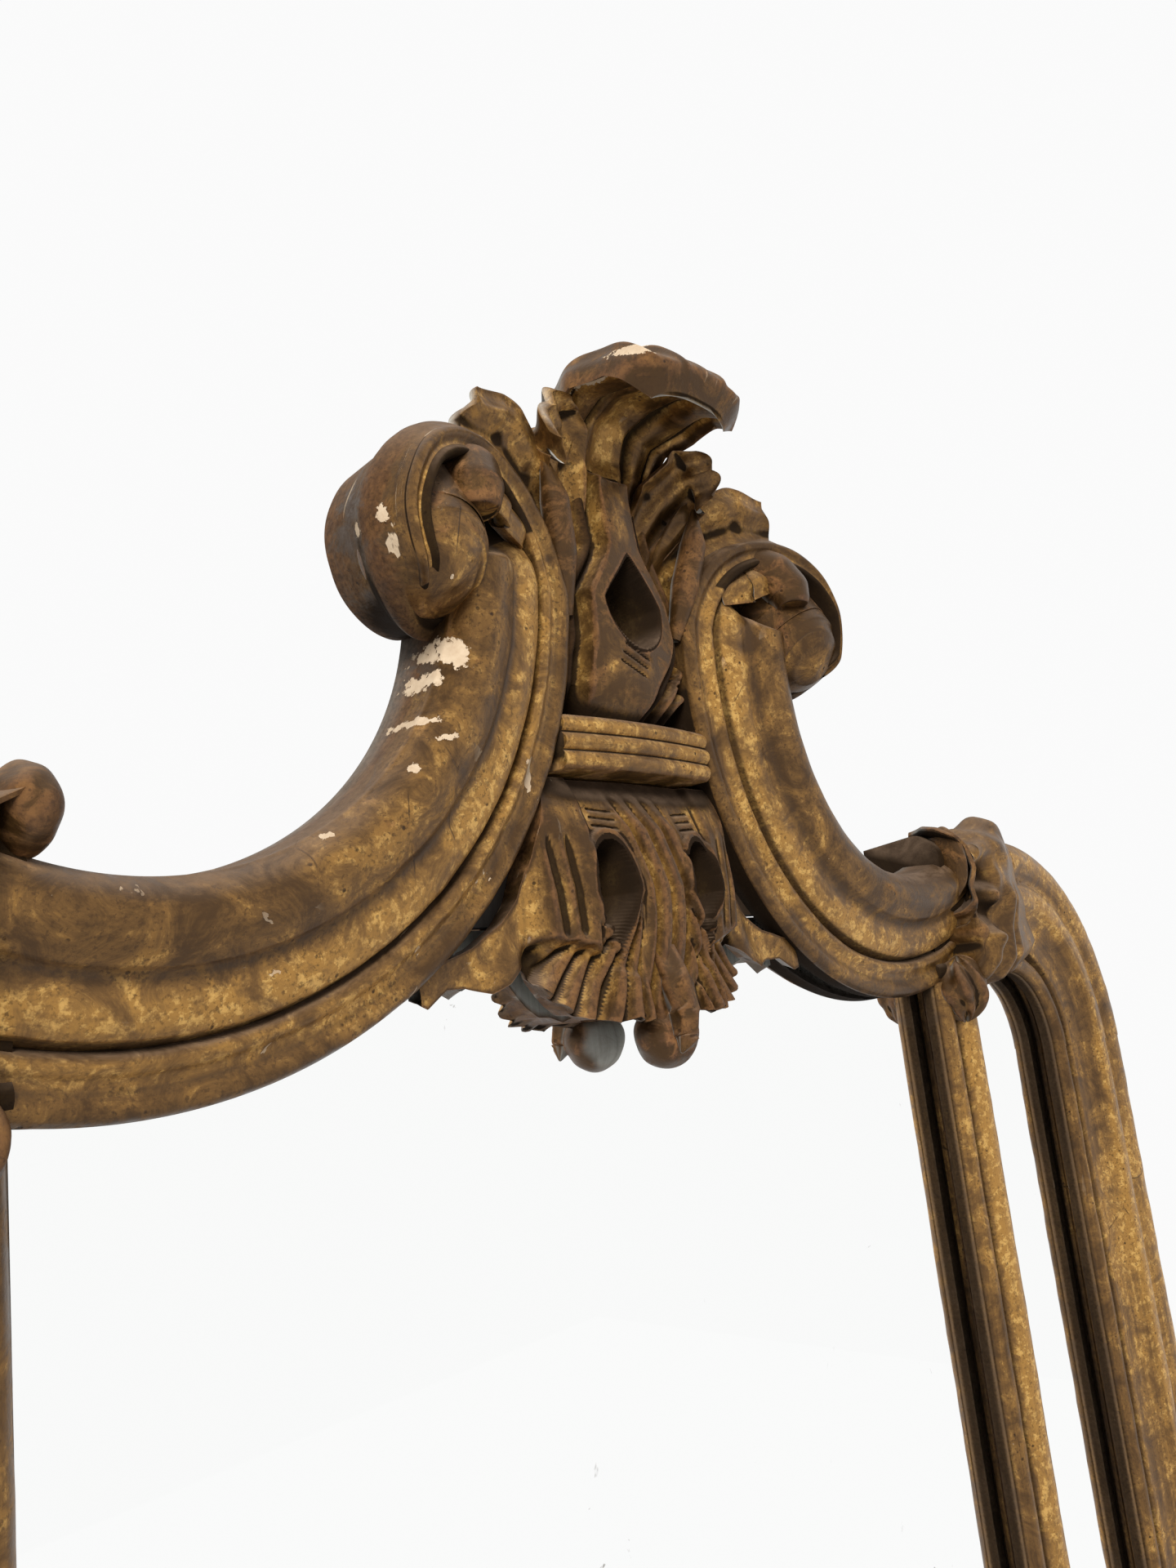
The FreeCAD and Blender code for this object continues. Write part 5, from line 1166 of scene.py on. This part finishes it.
def make_wood(name, dark, light, ground=0.0):
    """Grain between a dark and a light tone, stained in patches; by the share of ground, all but the
    back is painted nearly black as shade."""
    material, add, skin = new_material(name)
    place = add("ShaderNodeTexCoord").outputs["Object"]
    rings = noise(add, stretched(add, place, (95, 95, 4)), 1.0, 5, 0.6, 0.6)
    tone = mixed(add, span(add, rings, 0.35, 0.68), dark, light)
    # Painted shade: all that does not face the wall turns nearly black, by the share of ground.
    way = add("ShaderNodeNewGeometry").outputs["Normal"]
    behind = add("ShaderNodeSeparateXYZ", {"Vector": way}).outputs["Y"]
    ahead = maths(add, "MULTIPLY", span(add, behind, 0.3, 0.7, 1.0, 0.0), ground)
    tone = mixed(add, ahead, tone, mixed(add, rings, CREST_SHADE_DARK, CREST_SHADE_LIGHT))
    stained = span(add, noise(add, place, 6, 4, 0.6), 0.45, 0.7, 0.0, 0.5)
    join(skin, {"Base Color": mixed(add, stained, tone, STAIN),
                "Roughness": span(add, rings, 0.2, 0.8, 0.85, 0.62),
                "Normal": bumped(add, rings, 0.5, 0.0006)})
    return material


def make_iron(name, base):
    """Dark metal; rust by a noise takes over its colour, dulls it and takes its metal away."""
    material, add, skin = new_material(name)
    rust = noise(add, add("ShaderNodeTexCoord").outputs["Object"], 160, 5, 0.65, 0.4)
    mask = span(add, rust, 0.48, 0.66)
    join(skin, {"Base Color": mixed(add, mask, base, RUST), "Roughness": span(add, mask, 0, 1, 0.42, 0.85),
                "Metallic": span(add, mask, 0, 1, 0.9, 0.1), "Normal": bumped(add, rust, 0.4, 0.0004)})
    return material


board_wood = make_wood("back_softwood", paint(112, 82, 54), paint(150, 116, 80))
crest_shade_wood = make_wood("crest_shaded_softwood", paint(84, 62, 42), paint(118, 90, 62), 1.0)
old_iron = make_iron("old_iron", paint(88, 84, 80))

# %% CAD pieces that keep their solids
FINISHES = {
    board_wood: ("left_outer_board", "right_outer_board", "left_middle_board", "right_middle_board",
                 "left_crest_batten", "right_crest_batten", "glue_blocks", "frame_dowels"),
    crest_shade_wood: ("crest_board",),
    old_iron: ("board_screws", "batten_screws", "hanger_screws", "left_hanger_plate", "right_hanger_plate",
               "left_hanging_ring", "right_hanging_ring"),
}
for finish, names in FINISHES.items():
    for name in names:
        nodes[name].data.materials.clear()
        nodes[name].data.materials.append(finish)
    print(finish.name, "on", len(names), "CAD pieces")

# %% [markdown]
# The stage is a pale floor under the mirror and an even white surround, which metal and glass
# show as well. Most light comes from one soft lamp high at the left, as from a window, and a weak
# broad one at the right stands for the room. The surround is white only where it is seen, straight
# or in a reflection, and gives little light, so it does not wash the carving out.

# %% Light and surround
def soft_lamp(name, place, aim, size, power):
    """A square lamp at a place, turned to its aim and hidden from reflections."""
    data = bpy.data.lights.new(name, "AREA")
    data.shape = "SQUARE"
    data.size = size
    data.energy = power
    lamp = bpy.data.objects.new(name, data)
    bpy.context.scene.collection.objects.link(lamp)
    way = Vector(place) - Vector(aim)
    lamp.visible_glossy = False
    lamp.matrix_world = Matrix.Translation(place) @ way.to_track_quat("Z", "Y").to_matrix().to_4x4()
    print(name, power, "W")


soft_lamp("window", (-1.9, -1.8, 1.6), (0, 0, 0.2), 1.1, 150)
soft_lamp("room", (1.7, -2.2, 0.2), (0, 0, 0), 2.0, 16)

SURROUND_LIGHT, SURROUND_SEEN = 0.16, 0.8
world = bpy.data.worlds.new("surround")
bpy.context.scene.world = world
world.use_nodes = True
world.node_tree.nodes.clear()
add = nodes_of(world.node_tree)
path = add("ShaderNodeLightPath")
seen = maths(add, "MAXIMUM", path.outputs["Is Camera Ray"], path.outputs["Is Transmission Ray"])
seen = maths(add, "MAXIMUM", seen, path.outputs["Is Glossy Ray"])
strength = maths(add, "ADD", maths(add, "MULTIPLY", seen, SURROUND_SEEN), SURROUND_LIGHT)
sky = add("ShaderNodeBackground", {"Color": (1, 1, 1, 1), "Strength": strength})
add("ShaderNodeOutputWorld", {"Surface": sky.outputs[0]})

# %% Floor
FLOOR_HALF, FLOOR_Z = 3.0, -1.06
mesh = bpy.data.meshes.new("floor")
corners = [(x * FLOOR_HALF, y * FLOOR_HALF, FLOOR_Z) for x, y in ((-1, -1), (1, -1), (1, 1), (-1, 1))]
mesh.from_pydata(corners, [], [(0, 1, 2, 3)])
floor = bpy.data.objects.new("floor", mesh)
bpy.context.scene.collection.objects.link(floor)
pale, add, skin = new_material("pale_floor")
grain = noise(add, add("ShaderNodeTexCoord").outputs["Object"], 3, 3)
join(skin, {"Base Color": mixed(add, grain, (0.8, 0.8, 0.79, 1), (0.84, 0.84, 0.83, 1)), "Roughness": 0.8})
white = add("ShaderNodeEmission", {"Strength": 0.97})
path = add("ShaderNodeLightPath")
half_seen = maths(add, "MULTIPLY", path.outputs["Is Camera Ray"], 0.5)
lifted = add("ShaderNodeMixShader", {0: half_seen, 1: skin.outputs[0], 2: white.outputs[0]})
either = add("ShaderNodeMixShader", {0: path.outputs["Is Glossy Ray"], 1: lifted.outputs[0],
                                     2: white.outputs[0]})
pale.node_tree.links.new(either.outputs[0], pale.node_tree.get_output_node("ALL").inputs["Surface"])
floor.data.materials.append(pale)
print("floor at", FLOOR_Z, "m")

# %% [markdown]
# The camera stands low and to the left, close to the crest, as the photograph was taken. Its place
# and its ways to the right and ahead were worked out from the lines of the frame.

# %% Camera
LENS_MM, SENSOR_MM = 26.64, 36
CAMERA_PLACE = (-0.3679, -0.3442, 0.1365)
CAMERA_RIGHT, CAMERA_AHEAD = (0.681, -0.724, -0.112), (0.731, 0.659, 0.179)
lens = bpy.data.cameras.new("camera")
lens.lens = LENS_MM
lens.sensor_width = SENSOR_MM
lens.clip_start = 0.01
camera = bpy.data.objects.new("camera", lens)
bpy.context.scene.collection.objects.link(camera)
right = Vector(CAMERA_RIGHT).normalized()
back = -Vector(CAMERA_AHEAD).normalized()
up = back.cross(right).normalized()
right = up.cross(back)
turn = Matrix((right, up, back)).transposed().to_4x4()
camera.matrix_world = Matrix.Translation(CAMERA_PLACE) @ turn
bpy.context.scene.camera = camera
bpy.context.scene.view_settings.view_transform = "Standard"
print("camera at", CAMERA_PLACE)
